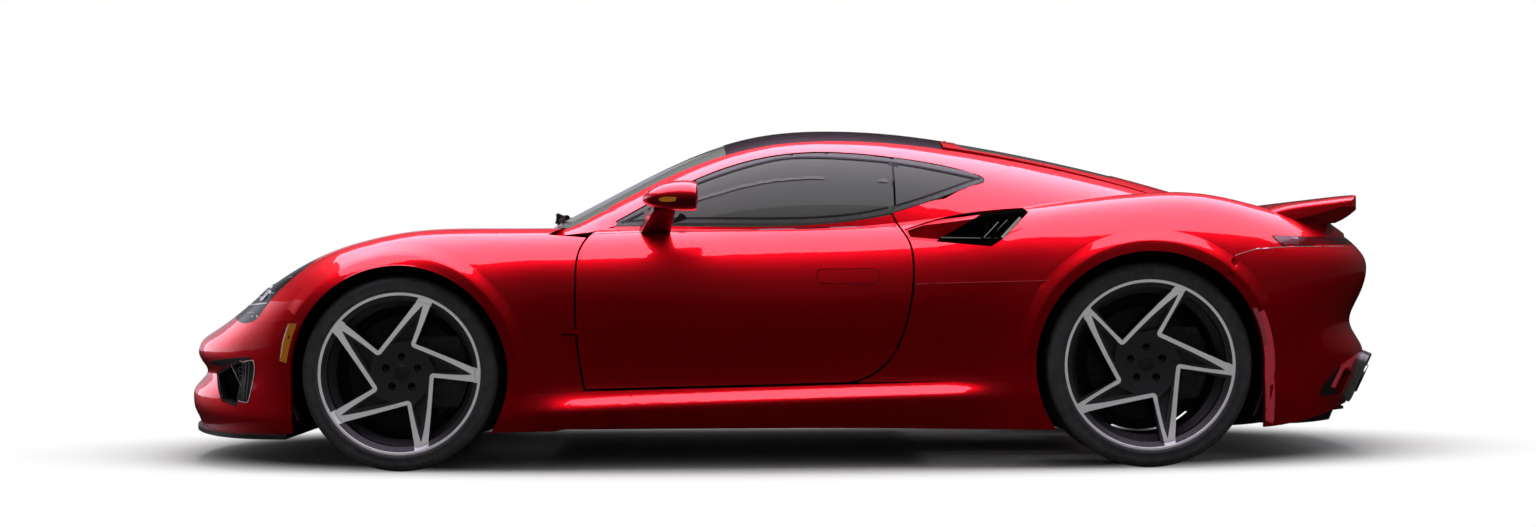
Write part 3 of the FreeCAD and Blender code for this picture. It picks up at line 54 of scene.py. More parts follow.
# %% [markdown]
# A shader is a small sum. Wrapping its sockets in a class lets the sum be written as one, and every node
# that isn't plain arithmetic is made by one method that takes its type, settings and inputs.


# %% Sockets that add and multiply
def put(tree, value, entry):
    """Link a sum to a node's input, or set the input to a constant."""
    if isinstance(value, Value):
        tree.links.new(value.socket, entry)
    elif isinstance(value, tuple) and entry.type == "RGBA":
        entry.default_value = (*value, 1)
    else:
        entry.default_value = value


class Value:
    def __init__(self, tree, socket):
        self.tree = tree
        self.socket = socket

    def maths(self, operation, other=0.0, swap=False):
        node = self.tree.nodes.new("ShaderNodeMath")
        node.operation = operation
        for entry, value in zip(node.inputs, (other, self) if swap else (self, other)):
            put(self.tree, value, entry)
        return Value(self.tree, node.outputs[0])

    def __add__(self, other):
        return self.maths("ADD", other)

    __radd__ = __add__

    def __sub__(self, other):
        return self.maths("SUBTRACT", other)

    def __rsub__(self, other):
        return self.maths("SUBTRACT", other, True)

    def __mul__(self, other):
        return self.maths("MULTIPLY", other)

    __rmul__ = __mul__

    def __gt__(self, other):
        return self.maths("GREATER_THAN", other)

    def __lt__(self, other):
        return self.maths("LESS_THAN", other)


class Finish:
    """One material and the few nodes that its look needs."""

    def __init__(self, name, **sockets):
        self.name = name
        self.material = bpy.data.materials.new(name)
        self.material.use_nodes = True
        self.tree = self.material.node_tree
        self.shader = self.tree.nodes["Principled BSDF"]
        for socket, value in sockets.items():
            self.feed(socket.replace("_", " "), value)

    def feed(self, socket, value):
        put(self.tree, value, self.shader.inputs[socket])

    def node(self, kind, settings=None, output=0, **sockets):
        made = self.tree.nodes.new("ShaderNode" + kind)
        for name, value in (settings or {}).items():
            setattr(made, name, value)
        for name, value in sockets.items():
            key = int(name[1:]) if name[0] == "i" and name[1:].isdigit() else name.replace("_", " ")
            put(self.tree, value, made.inputs[key])
        return Value(self.tree, made.outputs[output])

    def place(self):
        return self.node("TexCoord", output="Object")

    def axes(self):
        """The x, y and z of the spot being shaded."""
        spot = self.node("SeparateXYZ", Vector=self.place())
        return [Value(self.tree, socket) for socket in spot.socket.node.outputs]

    def noise(self, scale, detail=3.0):
        return self.node("TexNoise", Vector=self.place(), Scale=scale, Detail=detail)

    def bump(self, height, strength, distance):
        self.feed("Normal", self.node("Bump", Height=height, Strength=strength, Distance=distance))

    def shades(self, factor, low, dark, high, pale):
        """A colour that goes from dark to pale as the factor goes from low to high."""
        made = self.node("ValToRGB", output="Color", Fac=factor)
        for element, spot, colour in zip(made.socket.node.color_ramp.elements, (low, high), (dark, pale)):
            element.position = spot
            element.color = (*colour, 1)
        return made

    def mix(self, factor, first, second):
        return self.node("Mix", {"data_type": "RGBA"}, output=2, i0=factor, i6=first, i7=second)

    def rise(self, value, start, stop):
        """A soft step from 0 to 1."""
        return self.node("MapRange", {"interpolation_type": "SMOOTHSTEP"}, output="Result", Value=value,
                         i1=start, i2=stop)


# %% [markdown]
# The paint is a candy red: a metallic layer under a clear coat. The coat carries the softbox's pale
# reflection, and the layer below it keeps the deep colour. A fine flake moves the roughness a little, and
# an even finer ripple stands for the skin that sprayed paint always has.

# %% Paints
FLAKE = 1400
paint = Finish("red_paint", Metallic=0.92, Coat_Weight=1.0, Coat_Roughness=0.025)
flake = paint.noise(FLAKE, 2.0)
paint.feed("Base Color", paint.shades(flake, 0.3, (0.80, 0.0, 0.006), 0.7, (1.0, 0.0, 0.012)))
paint.feed("Roughness", 0.40 + 0.08 * flake)
paint.bump(paint.noise(260, 1.0), 0.012, 0.001)
roof_paint = Finish("roof_paint", Metallic=0.6, Coat_Weight=1.0, Coat_Roughness=0.03)
roof_paint.feed("Base Color", roof_paint.shades(roof_paint.noise(FLAKE, 2.0), 0.3, (0.030, 0.006, 0.016),
                                                0.7, (0.055, 0.010, 0.028)))
roof_paint.feed("Roughness", 0.26 + 0.08 * roof_paint.noise(900, 2.0))
stripe_paint = Finish("stripe_paint", Base_Color=(0.62, 0.03, 0.06), Roughness=0.45, Metallic=0.2,
                      Coat_Weight=0.4)

# %% [markdown]
# Plastics and rubber never shine evenly: a moulded grain breaks the light up, so each gets a noise that
# feeds its roughness and a shallow bump.


# %% Plastics, leather and glass
def grained(name, colour, rough, scale, depth, **more):
    made = Finish(name, **more)
    grain = made.noise(scale, 4.0)
    light = tuple(min(1, part * 1.5 + 0.002) for part in colour)
    made.feed("Base Color", made.shades(made.noise(scale / 6), 0.35, colour, 0.7, light))
    made.feed("Roughness", rough - 0.08 + 0.16 * grain)
    made.bump(grain, 0.35, depth)
    return made


satin = grained("dark_trim", (0.011, 0.011, 0.012), 0.36, 700, 0.0002, Specular_IOR_Level=0.3)
black = grained("matte_black", (0.010, 0.010, 0.011), 0.72, 420, 0.0005)
tyre = grained("tyre_rubber", (0.020, 0.021, 0.022), 0.62, 260, 0.0005)
leather = grained("seat_leather", (0.020, 0.019, 0.020), 0.50, 330, 0.0007)
disc = grained("disc_iron", (0.13, 0.13, 0.13), 0.34, 500, 0.0002, Metallic=1.0)
carrier = grained("carrier_metal", (0.060, 0.060, 0.062), 0.50, 300, 0.0006, Metallic=0.7)
frame_metal = grained("frame_metal", (0.07, 0.07, 0.074), 0.55, 200, 0.0004, Metallic=0.5)
engine = grained("engine_metal", (0.06, 0.06, 0.06), 0.55, 220, 0.0008, Metallic=0.6)
steel = grained("steel", (0.40, 0.40, 0.41), 0.26, 900, 0.0001, Metallic=1.0)
surround = grained("exhaust_surround", (0.10, 0.105, 0.10), 0.38, 500, 0.0001, Metallic=0.4)
bright = grained("bright_trim", (0.55, 0.55, 0.57), 0.30, 900, 0.0001, Metallic=0.35)
gasket = grained("window_seal", (0.008, 0.008, 0.008), 0.5, 500, 0.0002, Specular_IOR_Level=0.1)
grey_trim = grained("window_trim", (0.060, 0.061, 0.060), 0.45, 700, 0.0001, Specular_IOR_Level=0.2)
vane = Finish("intake_vane", Base_Color=(0.50, 0.52, 0.50), Roughness=0.5, Specular_IOR_Level=0.1)
glass = Finish("clear_glass", Base_Color=(0.125, 0.129, 0.125), Roughness=0.0, Transmission_Weight=0.16,
               IOR=1.45, Specular_IOR_Level=0.06)
# The windshield's glass is painted a paler grey than the side glass, a painted reflection.
screen_with_painted_reflection = Finish("screen_glass_painted_reflection", Base_Color=(0.29, 0.30, 0.29), Roughness=0.0, Transmission_Weight=0.30,
                IOR=1.45, Specular_IOR_Level=0.1)
mirror_face = Finish("mirror_face", Base_Color=(0.8, 0.8, 0.82), Metallic=1.0, Roughness=0.02)
lens = Finish("lamp_lens", Base_Color=(0.022, 0.026, 0.024), Roughness=0.25, Transmission_Weight=0.2,
              Specular_IOR_Level=0.25)
lamp_white = Finish("lamp_white", Base_Color=(0.50, 0.52, 0.54), Emission_Color=(0.9, 0.95, 1.0),
                    Emission_Strength=0.10)
lamp_white.feed("Roughness", 0.12 + 0.1 * lamp_white.noise(800))
red_lens = Finish("red_lens", Base_Color=(0.22, 0.004, 0.008), Roughness=0.06, Coat_Weight=0.6)
amber = Finish("amber_lens", Base_Color=(0.42, 0.14, 0.008), Roughness=0.14, Coat_Weight=0.5)
marker_red = Finish("marker_lens", Base_Color=(0.30, 0.05, 0.055), Roughness=0.16, Coat_Weight=0.5)
for made in (red_lens, amber, marker_red):
    flutes = made.node("TexWave", {"bands_direction": "X"}, output="Fac", Vector=made.place(), Scale=60.0,
                       Distortion=0.0)
    made.bump(flutes, 0.25, 0.0006)

# %% [markdown]
# The rims are dark castings whose front faces were cut on a lathe along the edges of the star alone. Whether
# a point was cut depends only on how far it lies from those edges. The star repeats every 72 degrees, so the
# sum folds the angle into one arm and measures from that arm's two edges: one nearly radial, one slanted.

# %% Machined rims
# A wheel's measures in metres: the axle's x; the tyre's radius, which is also the axle's height; the y of
# the outer face; the hub's depth behind that face; the flange's radius; the lip's drop inside it; the
# tyre's width; the dust shield's depth. The last one is the direction of an arm's tip, in degrees.
Wheel = namedtuple("Wheel", "axle radius face depth flange drop width shield lean")
WHEELS = {"front": Wheel(-1.263, 0.3275, 0.918, 0.066, 0.2715, 0.0175, 0.245, 0.200, 69.7),
          "rear": Wheel(1.237, 0.343, 0.938, 0.088, 0.284, 0.0173, 0.305, 0.225, 66.0)}
ARM_STEP = math.radians(72)
# The arm's root corners: the direction of the first one, and their radius as a share of the flange's
FIRST_ROOT = math.radians(71) - 0.12
ROOT_SHARE = 0.40
# Half the angle of the arm's tip, the tip's distance from the lip, and how its face falls away to the hub
HALF_TIP = 0.075
TIP_GAP = 0.0045
TIP_DEPTH = 0.016
DISH_POWER = 1.7
# The cut's width at the hub, what it gains towards the flange, and how near the face a point has to lie
CUT_WIDTH = 0.0135
CUT_GAIN = 0.0165
FACE_SLACK = 0.0026


def cut_rim(name, wheel):
    made = Finish(name)
    x, y, z = made.axes()
    across = x - wheel.axle
    up = z - wheel.radius
    away = (across * across + up * up).maths("SQRT")
    inwards = wheel.face - y.maths("ABSOLUTE")
    tip = wheel.flange - wheel.drop - TIP_GAP
    fall = (away * (1 / tip)).maths("POWER", DISH_POWER)
    surface = TIP_DEPTH + (wheel.depth - TIP_DEPTH) * (1 - fall)
    gap = (inwards - surface).maths("ABSOLUTE")
    turn = (up.maths("ARCTAN2", across) + (4 * math.pi - FIRST_ROOT)).maths("MODULO", ARM_STEP) + FIRST_ROOT
    x = away * turn.maths("COSINE")
    z = away * turn.maths("SINE")
    reaches = []
    sides = []
    for root_angle, half in ((FIRST_ROOT, -HALF_TIP), (FIRST_ROOT + ARM_STEP, HALF_TIP)):
        tip_angle = math.radians(wheel.lean) + half
        root = Vector((math.cos(root_angle), math.sin(root_angle))) * ROOT_SHARE * wheel.flange
        point = Vector((math.cos(tip_angle), math.sin(tip_angle))) * wheel.flange
        way = (point - root).normalized()
        along = ((x - root.x) * way.x + (z - root.y) * way.y).maths("MINIMUM")
        beyond = (x - root.x) * way.y - (z - root.y) * way.x
        reaches.append((along * along + beyond * beyond).maths("POWER", 0.5))
        sides.append(beyond)
    edge = reaches[0].maths("MINIMUM", reaches[1])
    # The cut runs along both edges and widens outwards, and it joins the lip across the arm's end
    wide = CUT_WIDTH + CUT_GAIN * (away * (1 / wheel.flange)).maths("POWER", 4.0)
    star = (gap < FACE_SLACK) * (edge < wide) * (away < tip + 0.002)
    lip = (inwards < 0.0105) * (away > wheel.flange - 0.0095)
    end = (sides[0] < 0.002) * (sides[1] > -0.002) * (away > tip - 0.003) * (inwards < 0.028)
    cut = star.maths("MAXIMUM", lip).maths("MAXIMUM", end)
    rings = made.node("TexNoise", Vector=made.node("CombineXYZ", X=away * 3000), Scale=1.0)
    dark = made.shades(made.noise(300), 0.3, (0.020, 0.020, 0.021), 0.7, (0.034, 0.034, 0.035))
    pale = made.shades(rings, 0.3, (0.72, 0.72, 0.73), 0.7, (0.84, 0.84, 0.85))
    made.feed("Base Color", made.mix(cut, dark, pale))
    made.feed("Metallic", 0.30 - 0.12 * cut)
    made.feed("Roughness", 0.42 - 0.06 * cut + 0.05 * rings)
    return made


rims = {end: cut_rim(f"rim_{end}", wheel) for end, wheel in WHEELS.items()}

# %% [markdown]
# The model names a finish for each of its pieces. Four kinds differ from what it names: the rear rims have
# their own cut, the windshield is painted paler than the side glass as a painted reflection, the intakes'
# inserts are painted red in front of a slanted line and black behind it as painted shade in the opening,
# and the mirrors' cups are painted a darker red than their caps as painted shade.

# %% Finishes on the frame's own pieces
by_slot = {made.name: made.material for made in (
    paint, roof_paint, satin, black, glass, lens, red_lens, tyre, disc, carrier, frame_metal, engine, leather,
    steel)}
by_slot["rim_metal"] = rims["front"].material
for part in frame["record"]["subparts"]:
    node = nodes[part["node"]]
    node.data.materials.clear()
    node.data.materials.append(by_slot[part["material_slot"]])

# In front of the slanted line the insert is painted red; behind it, black with no shine is painted shade for
# the dark opening.
ramp_with_painted_shade = Finish("intake_ramp_painted_shade", Roughness=0.36, Specular_IOR_Level=0.0)
x, y, z = ramp_with_painted_shade.axes()
painted = (x + (z - 0.770) * -1.75) < 0.553
ramp_with_painted_shade.feed("Base Color", ramp_with_painted_shade.mix(painted, (0.002, 0.002, 0.002), (0.50, 0.0, 0.006)))
ramp_with_painted_shade.feed("Metallic", 0.6 * painted)
ramp_with_painted_shade.feed("Coat Weight", 0.5 * painted)
# Below its cap the mirror is painted dark red, painted shade on the stalk; above it the red is full.
cup_with_painted_shade = Finish("mirror_paint_shaded_stalk", Metallic=0.8, Roughness=0.38, Coat_Weight=1.0, Coat_Roughness=0.05)
x, y, z = cup_with_painted_shade.axes()
cup_with_painted_shade.feed("Base Color", cup_with_painted_shade.mix(cup_with_painted_shade.rise(z, 0.890, 0.925), (0.16, 0.0, 0.010), (0.85, 0.0, 0.010)))
for hand in ("left", "right"):
    nodes[f"rim_rear_{hand}"].data.materials[0] = rims["rear"].material
    nodes[f"mirror_{hand}"].data.materials[0] = cup_with_painted_shade.material
nodes["side_intakes"].data.materials[0] = ramp_with_painted_shade.material
nodes["windshield"].data.materials[0] = screen_with_painted_reflection.material
print("finishes:", len(bpy.data.materials))

# %% [markdown]
# New pieces are made in a bmesh and handed over by one function, which names them, gives them a finish and
# the body that carries them, and smooths all but their sharp edges.


def placed(name, form, finish):
    """The form as a piece in the scene."""
    mesh = bpy.data.meshes.new(name)
    form.to_mesh(mesh)
    form.free()
    piece = bpy.data.objects.new(name, mesh)
    scene.collection.objects.link(piece)
    mesh.materials.append(finish.material)
    return piece


def hand_over(name, form, finish, body="body", angle=35.0, replaces=None):
    piece = placed(name, form, finish)
    for face in piece.data.polygons:
        face.use_smooth = True
    piece.data.set_sharp_from_angle(angle=math.radians(angle))
    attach(piece, body)
    if replaces:
        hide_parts(*replaces)


def lathe(profile, steps):
    """A closed form turned about the Y axis from (radius, y) points."""
    form = bmesh.new()
    corners = [form.verts.new((radius, y, 0)) for radius, y in profile]
    edges = [form.edges.new(pair) for pair in zip(corners, corners[1:] + corners[:1])]
    bmesh.ops.spin(form, geom=corners + edges, cent=(0, 0, 0), axis=(0, 1, 0), angle=2 * math.pi,
                   steps=steps, use_merge=True)
    bmesh.ops.remove_doubles(form, verts=form.verts, dist=1e-6)
    bmesh.ops.recalc_face_normals(form, faces=form.faces)
    return form


def mount(form, wheel, sign):
    """Turn a lathed form to its side of the car and move it to its wheel's outer face."""
    flip = Matrix.Rotation(math.pi if sign > 0 else 0, 3, "Z")
    bmesh.ops.rotate(form, verts=form.verts, cent=(0, 0, 0), matrix=flip)
    bmesh.ops.translate(form, verts=form.verts, vec=(wheel.axle, sign * wheel.face, wheel.radius))
    return form


def corners_of_car():
    for end, wheel in WHEELS.items():
        for hand, sign in HANDS:
            yield end, hand, wheel, sign


# %% [markdown]
# A tyre's section is turned once round the axle. Its crown has four grooves, its shoulder is round and its
# side has the low rings that a mould leaves.


# %% Tyres
def tyre_section(outer, flange, width):
    side = [(flange + 0.0006, 0.0075), (flange + 0.004, 0.0030), (flange + 0.010, 0.0008),
            (flange + 0.0125, 0.0008), (flange + 0.0135, 0.0018), (flange + 0.020, 0.0022),
            (outer - 0.026, 0.0024), (outer - 0.024, 0.0016), (outer - 0.018, 0.0030),
            (outer - 0.010, 0.0075), (outer - 0.0045, 0.0135), (outer - 0.0012, 0.0225)]
    crown = [(outer, 0.030)]
    for middle in (0.24, 0.42, 0.58, 0.76):
        start = width * middle - 0.005
        crown += [(outer, start), (outer - 0.0065, start + 0.001), (outer - 0.0065, start + 0.009),
                  (outer, start + 0.010)]
    crown += [(outer, width - 0.030)]
    other = [(radius, width - y) for radius, y in reversed(side)]
    inner = [(flange + 0.0006, width - 0.022), (flange + 0.010, width - 0.021),
             (outer - 0.016, width - 0.020), (outer - 0.014, width / 2), (outer - 0.016, 0.020),
             (flange + 0.010, 0.021), (flange + 0.0006, 0.022)]
    return side + crown + other + inner


for end, hand, wheel, sign in corners_of_car():
    form = mount(lathe(tyre_section(wheel.radius, wheel.flange, wheel.width), 128), wheel, sign)
    hand_over(f"tyre_dressed_{end}_{hand}", form, tyre, f"wheel_{end}_{hand}",
              replaces=[f"tyre_{end}_{hand}"])

# %% [markdown]
# Each hub has a plain domed cap and five bolts with a hexagonal socket, sunk in their recesses.

# %% Caps and bolts
BOLT_TURNS = [math.radians(18 + 72 * k) for k in range(5)]
BOLT_CIRCLE = 0.056
for end, hand, wheel, sign in corners_of_car():
    hub = wheel.depth
    form = lathe([(0.0001, hub - 0.006), (0.012, hub - 0.0055), (0.024, hub - 0.004), (0.0285, hub - 0.001),
                  (0.030, hub + 0.004), (0.030, hub + 0.016), (0.0001, hub + 0.016)], 48)
    hand_over(f"hub_cap_{end}_{hand}", mount(form, wheel, sign), satin, f"wheel_{end}_{hand}")
    form = bmesh.new()
    for turn in BOLT_TURNS:
        one = lathe([(0.0046, hub + 0.020), (0.0075, hub + 0.0095), (0.0100, hub + 0.0085),
                     (0.0108, hub + 0.011), (0.0112, hub + 0.026), (0.0046, hub + 0.026)], 6)
        bmesh.ops.translate(one, verts=one.verts,
                            vec=(BOLT_CIRCLE * math.cos(turn), 0, BOLT_CIRCLE * math.sin(turn)))
        mesh = bpy.data.meshes.new("bolt")
        one.to_mesh(mesh)
        form.from_mesh(mesh)
        one.free()
        bpy.data.meshes.remove(mesh)
    hand_over(f"wheel_bolts_{end}_{hand}", mount(form, wheel, sign), steel, f"wheel_{end}_{hand}")

# %% [markdown]
# A thin dust shield closes each rim behind its disc. It hangs on the hub carrier, so it steers but doesn't
# turn with the wheel.

# %% Dust shields
for end, hand, wheel, sign in corners_of_car():
    back = wheel.shield
    form = lathe([(0.070, back), (0.230, back), (0.2305, back + 0.006), (0.2317, back + 0.006),
                  (0.231, back - 0.0015), (0.070, back - 0.0015)], 64)
    hand_over(f"dust_shield_{end}_{hand}", mount(form, wheel, sign), black,
              f"knuckle_{hand}" if end == "front" else "body")

# %% [markdown]
# Trims, seals and marker lamps follow the bodywork. A ray sent in from the side tells where the skin is at
# each point, so a band can be laid on it as a flat grid whose verts are moved to their places. The lines are
# drawn in millimetres, as the construction's are, from a zero that lies 15 mm behind the frame's.

# %% Bands on the skin
SHIFT = 0.015
# Where rays start: beside the car, above it, and before or behind it
OUTSIDE = 1.3
OVERHEAD = 1.6
FAR_OUT = 3
# Across the car, the flank's skin lies beyond the first, and nothing within the second is its skin
FLANK = 0.8
TOO_DEEP = 0.2
# How far a thin line's underside is sunk into the skin
SINK = 0.0004
CURVE_STEPS = 12


def skin_tree(*names):
    form = bmesh.new()
    for name in names:
        form.from_mesh(nodes[name].data)
    return BVHTree.FromBMesh(form)


def hit(tree, start, way):
    """Where a ray meets the skin, and the skin's normal there."""
    return tree.ray_cast(Vector(start), Vector(way))[:2]


def on_side(tree, x, z, sign, lift=0.0):
    """The spot on one side's skin at (x, z), or the nearest one, raised by lift."""
    spot, normal = hit(tree, (x, sign * OUTSIDE, z), (0, -sign, 0))
    if spot is None or spot.y * sign < TOO_DEEP:
        spot, normal = tree.find_nearest(Vector((x, sign * FLANK, z)))[:2]
    if normal.y * sign < 0:
        normal = -normal
    return spot + normal * lift


def spots(points):
    """The drawing's points in the frame's metres."""
    return [(x / 1000 + SHIFT, z / 1000) for x, z in points]


def smooth_line(points, count, closed=False):
    """Evenly spread spots on a soft curve through the drawing's points."""
    knots = [Vector(point) for point in spots(points)]
    if closed:
        knots = [knots[-1]] + knots + knots[:2]
    else:
        knots = [knots[0] * 2 - knots[1]] + knots + [knots[-1] * 2 - knots[-2]]
    line = []
    for i in range(1, len(knots) - 2):
        a, b, c, d = knots[i - 1:i + 3]
        for k in range(CURVE_STEPS):
            t = k / CURVE_STEPS
            line.append(0.5 * (2 * b + (c - a) * t + (2 * a - 5 * b + 4 * c - d) * t ** 2
                               + (3 * b - a - 3 * c + d) * t ** 3))
    ring = line + [line[0] if closed else knots[-2]]
    lengths = [0.0]
    for a, b in zip(ring, ring[1:]):
        lengths.append(lengths[-1] + (b - a).length)
    result = []
    for k in range(count):
        want = lengths[-1] * k / (count if closed else count - 1)
        i = max(j for j in range(len(lengths) - 1) if lengths[j] <= want + 1e-9)
        share = (want - lengths[i]) / max(lengths[i + 1] - lengths[i], 1e-9)
        result.append(ring[i].lerp(ring[i + 1], min(share, 1.0)))
    return result


def beside(line, reach, closed=False):
    """The same line moved sideways, to its left, by reach."""
    moved = []
    for i, spot in enumerate(line):
        before = line[i - 1] if i or closed else spot
        after = line[(i + 1) % len(line)] if i + 1 < len(line) or closed else spot
        way = (after - before).normalized()
        moved.append(spot + Vector((-way.y, way.x)) * reach)
    return moved


def thickened(form, faces, way):
    """The faces pulled out by way into a closed solid."""
    raised = bmesh.ops.extrude_face_region(form, geom=faces)["geom"]
    corners = [part for part in raised if isinstance(part, bmesh.types.BMVert)]
    bmesh.ops.translate(form, verts=corners, vec=way)
    bmesh.ops.recalc_face_normals(form, faces=form.faces)
    return form


def plate(corners, way):
    """A flat plate with these corners, as thick as way is long."""
    form = bmesh.new()
    face = form.faces.new([form.verts.new(corner) for corner in corners])
    return thickened(form, [face], way)


def laid(rows, way, closed=False):
    """A thin sheet through rows of points."""
    form = bmesh.new()
    along = len(rows) if closed else len(rows) - 1
    across = len(rows[0]) - 1
    bmesh.ops.create_grid(form, x_segments=along, y_segments=across, size=1)
    for corner in form.verts:
        i = round((corner.co.x + 1) / 2 * along)
        k = round((corner.co.y + 1) / 2 * across)
        corner.co = rows[i % len(rows)][k]
    bmesh.ops.remove_doubles(form, verts=form.verts, dist=1e-6)
    return thickened(form, form.faces[:], way)


def band(name, tree, first, second, sign, lift, thick, finish, body="body", closed=False, across=3):
    """A thin strip between two lines, laid on the skin of one side."""
    rows = [[on_side(tree, *a.lerp(b, k / across), sign, lift) for k in range(across + 1)]
            for a, b in zip(first, second)]
    hand_over(name, laid(rows, (0, sign * thick, 0), closed), finish, body)


def patch(name, tree, first, second, count, sign, lift, thick, finish, body="body", across=8):
    """A band between two soft curves, each given by its points."""
    band(name, tree, smooth_line(first, count), smooth_line(second, count), sign, lift, thick, finish, body,
         across=across)


def line_on(name, tree, points, wide, count, sign, finish, body="body", thick=0.0015, closed=False):
    """A thin raised line along a soft curve, sunk a little into the skin."""
    middle = smooth_line(points, count, closed)
    band(name, tree, beside(middle, wide / 2, closed), beside(middle, -wide / 2, closed), sign, -SINK,
         thick, finish, body, closed, across=1)


# %% [markdown]
# The side window has a satin grey frame and, inside it, a black rubber lip. Both follow one closed line:
# the frame lies on the panes' edge, and the lip is the same line moved inwards. The upper run is fixed to
# the rails, and the run along the belt rides on the door.

# %% Window frames
WINDOW = ((-560, 824), (-469, 884), (-311, 971), (-71, 1050), (102, 1069), (394, 1047), (672, 992),
          (697, 974), (661, 956), (376, 864), (108, 829), (-346, 830))
BELT_TOP = 0.886
DOOR_END = 0.395
# How far each strip reaches to either side of the line, its lift off the pane and its thickness
FRAME_STRIP = (0.004, -0.010, 0.0012, 0.002)
LIP_STRIP = (-0.0105, -0.0165, 0.0016, 0.0024)


def on_door(spot):
    return spot.y < BELT_TOP and spot.x < DOOR_END


edge = smooth_line(WINDOW, 150, closed=True)
start = next(i for i in range(len(edge)) if on_door(edge[i - 1]) and not on_door(edge[i]))
ring = edge[start:] + edge[:start]
upper = [spot for spot in ring if not on_door(spot)]
lower = [spot for spot in ring if on_door(spot)]
for hand, sign in HANDS:
    tree = skin_tree(f"door_glass_{hand}", "quarter_glass")
    for part, line, body in (("upper", upper, "body"), ("lower", lower, f"door_{hand}")):
        for strip, (near, far, lift, thick), finish in (("frame", FRAME_STRIP, grey_trim),
                                                        ("lip", LIP_STRIP, gasket)):
            band(f"window_{strip}_{part}_{hand}", tree, beside(line, near), beside(line, far), sign, lift,
                 thick, finish, body)
print("window bands laid")

# %% [markdown]
# Marker lamps are shallow lenses let into the arch's edge: amber in front, red behind.

# %% Marker lamps
fender_tree = skin_tree("front_fenders", "front_bumper")
tail_tree = skin_tree("rear_quarters", "rear_bumper")
for hand, sign in HANDS:
    patch(f"marker_front_{hand}", fender_tree, ((-1646, 498), (-1667, 434), (-1679, 374)),
          ((-1613, 498), (-1636, 434), (-1653, 366)), 24, sign, 0.0014, 0.003, amber, across=6)
    patch(f"marker_rear_{hand}", tail_tree, ((1548, 530), (1569, 462), (1590, 398)),
          ((1572, 530), (1594, 470), (1610, 409)), 24, sign, 0.0014, 0.003, marker_red, across=6)

# %% [markdown]
# Wheel arches end in a flared lip. From the axle, rays look for the edge of the skin at each angle; the lip
# rises from the skin to a crease and falls back to that edge, so that its lower face looks down. Behind the
# rear wheel a flat stripe takes the lip's place, in a duller and less metallic red that renders lighter than
# the paint: a painted highlight for the lit edge of the arch.

# %% Arch lips
# Reach out from the arch's edge and rise over the skin, in metres
CREASE = 0.036
LIP = ((0.002, 0.0006), (0.006, 0.0012), (0.018, 0.0033), (0.030, 0.0055), (CREASE, 0.0055),
       (0.052, 0.0023), (0.070, 0.0003), (0.078, -0.0012))
STRIPE = ((0.001, 0.0008), (0.006, 0.0020), (0.031, 0.0026), (0.036, 0.0010), (0.037, -0.0012))
LIP_THICK = 0.0015
RAYS = 96
# The radii at which each ray looks for skin, from the axle outwards
SEARCH = [0.325 + 0.002 * step for step in range(110)]
NEIGHBOURS = 3


def lip_around(name, tree, wheel, sign, start, stop, profile=LIP, finish=paint):
    def has_skin(way, radius):
        spot = hit(tree, (wheel.axle + way.x * radius, sign * OUTSIDE, wheel.radius + way.y * radius),
                   (0, -sign, 0))[0]
        return spot is not None and abs(spot.y) > FLANK

    found = []
    for i in range(RAYS + 1):
        angle = math.radians(start + (stop - start) * i / RAYS)
        way = Vector((math.cos(angle), math.sin(angle)))
        radius = next((radius for radius in SEARCH if has_skin(way, radius)), None)
        if radius:
            found.append((i, way, radius))
    rows = []
    for k, (i, way, radius) in enumerate(found):
        # A seam between two pieces would make the edge jump, so it takes the middle of its neighbours
        near = sorted(other[2] for other in found[max(k - NEIGHBOURS, 0):k + NEIGHBOURS + 1])
        edge = near[len(near) // 2]
        fade = math.sin(math.pi * i / RAYS) ** 0.25
        row = []
        for reach, lift in profile:
            radius = edge + reach
            row.append(on_side(tree, wheel.axle + way.x * radius, wheel.radius + way.y * radius, sign))
            row[-1].y += sign * (lift * fade if lift > 0 else lift)
        if has_skin(way, edge + CREASE):
            rows.append(row)
    hand_over(name, laid(rows, (0, -sign * LIP_THICK, 0)), finish, angle=60)


arch_tree = skin_tree("front_fenders", "front_bumper", "side_skirts")
haunch_tree = skin_tree("rear_quarters", "rear_bumper", "side_skirts")
for hand, sign in HANDS:
    lip_around(f"arch_lip_front_{hand}", arch_tree, WHEELS["front"], sign, -8, 150)
    lip_around(f"arch_lip_rear_{hand}", haunch_tree, WHEELS["rear"], sign, 26, 176)
    # The stripe's less metallic red is a painted highlight.
    lip_around(f"arch_stripe_painted_highlight_{hand}", haunch_tree, WHEELS["rear"], sign, -26, 26, STRIPE, stripe_paint)
print("arch lips done")

# %% [markdown]
# The front intakes are framed by a thin bright line, with a honeycomb behind it and two upright blades. Each
# cell of the honeycomb is a hexagonal ring, and only cells inside the outline are made.


# %% Front intakes
def inside(point, outline):
    odd = False
    for (ax, az), (bx, bz) in zip(outline, outline[1:] + outline[:1]):
        crosses = (az > point[1]) != (bz > point[1])
        if crosses and point[0] < (bx - ax) * (point[1] - az) / (bz - az) + ax:
            odd = not odd
    return odd


def walls(form, rings):
    """Faces between each ring of verts and the next."""
    for one, two in zip(rings, rings[1:]):
        for k in range(len(one)):
            form.faces.new((one[k - 1], one[k], two[k], two[k - 1]))


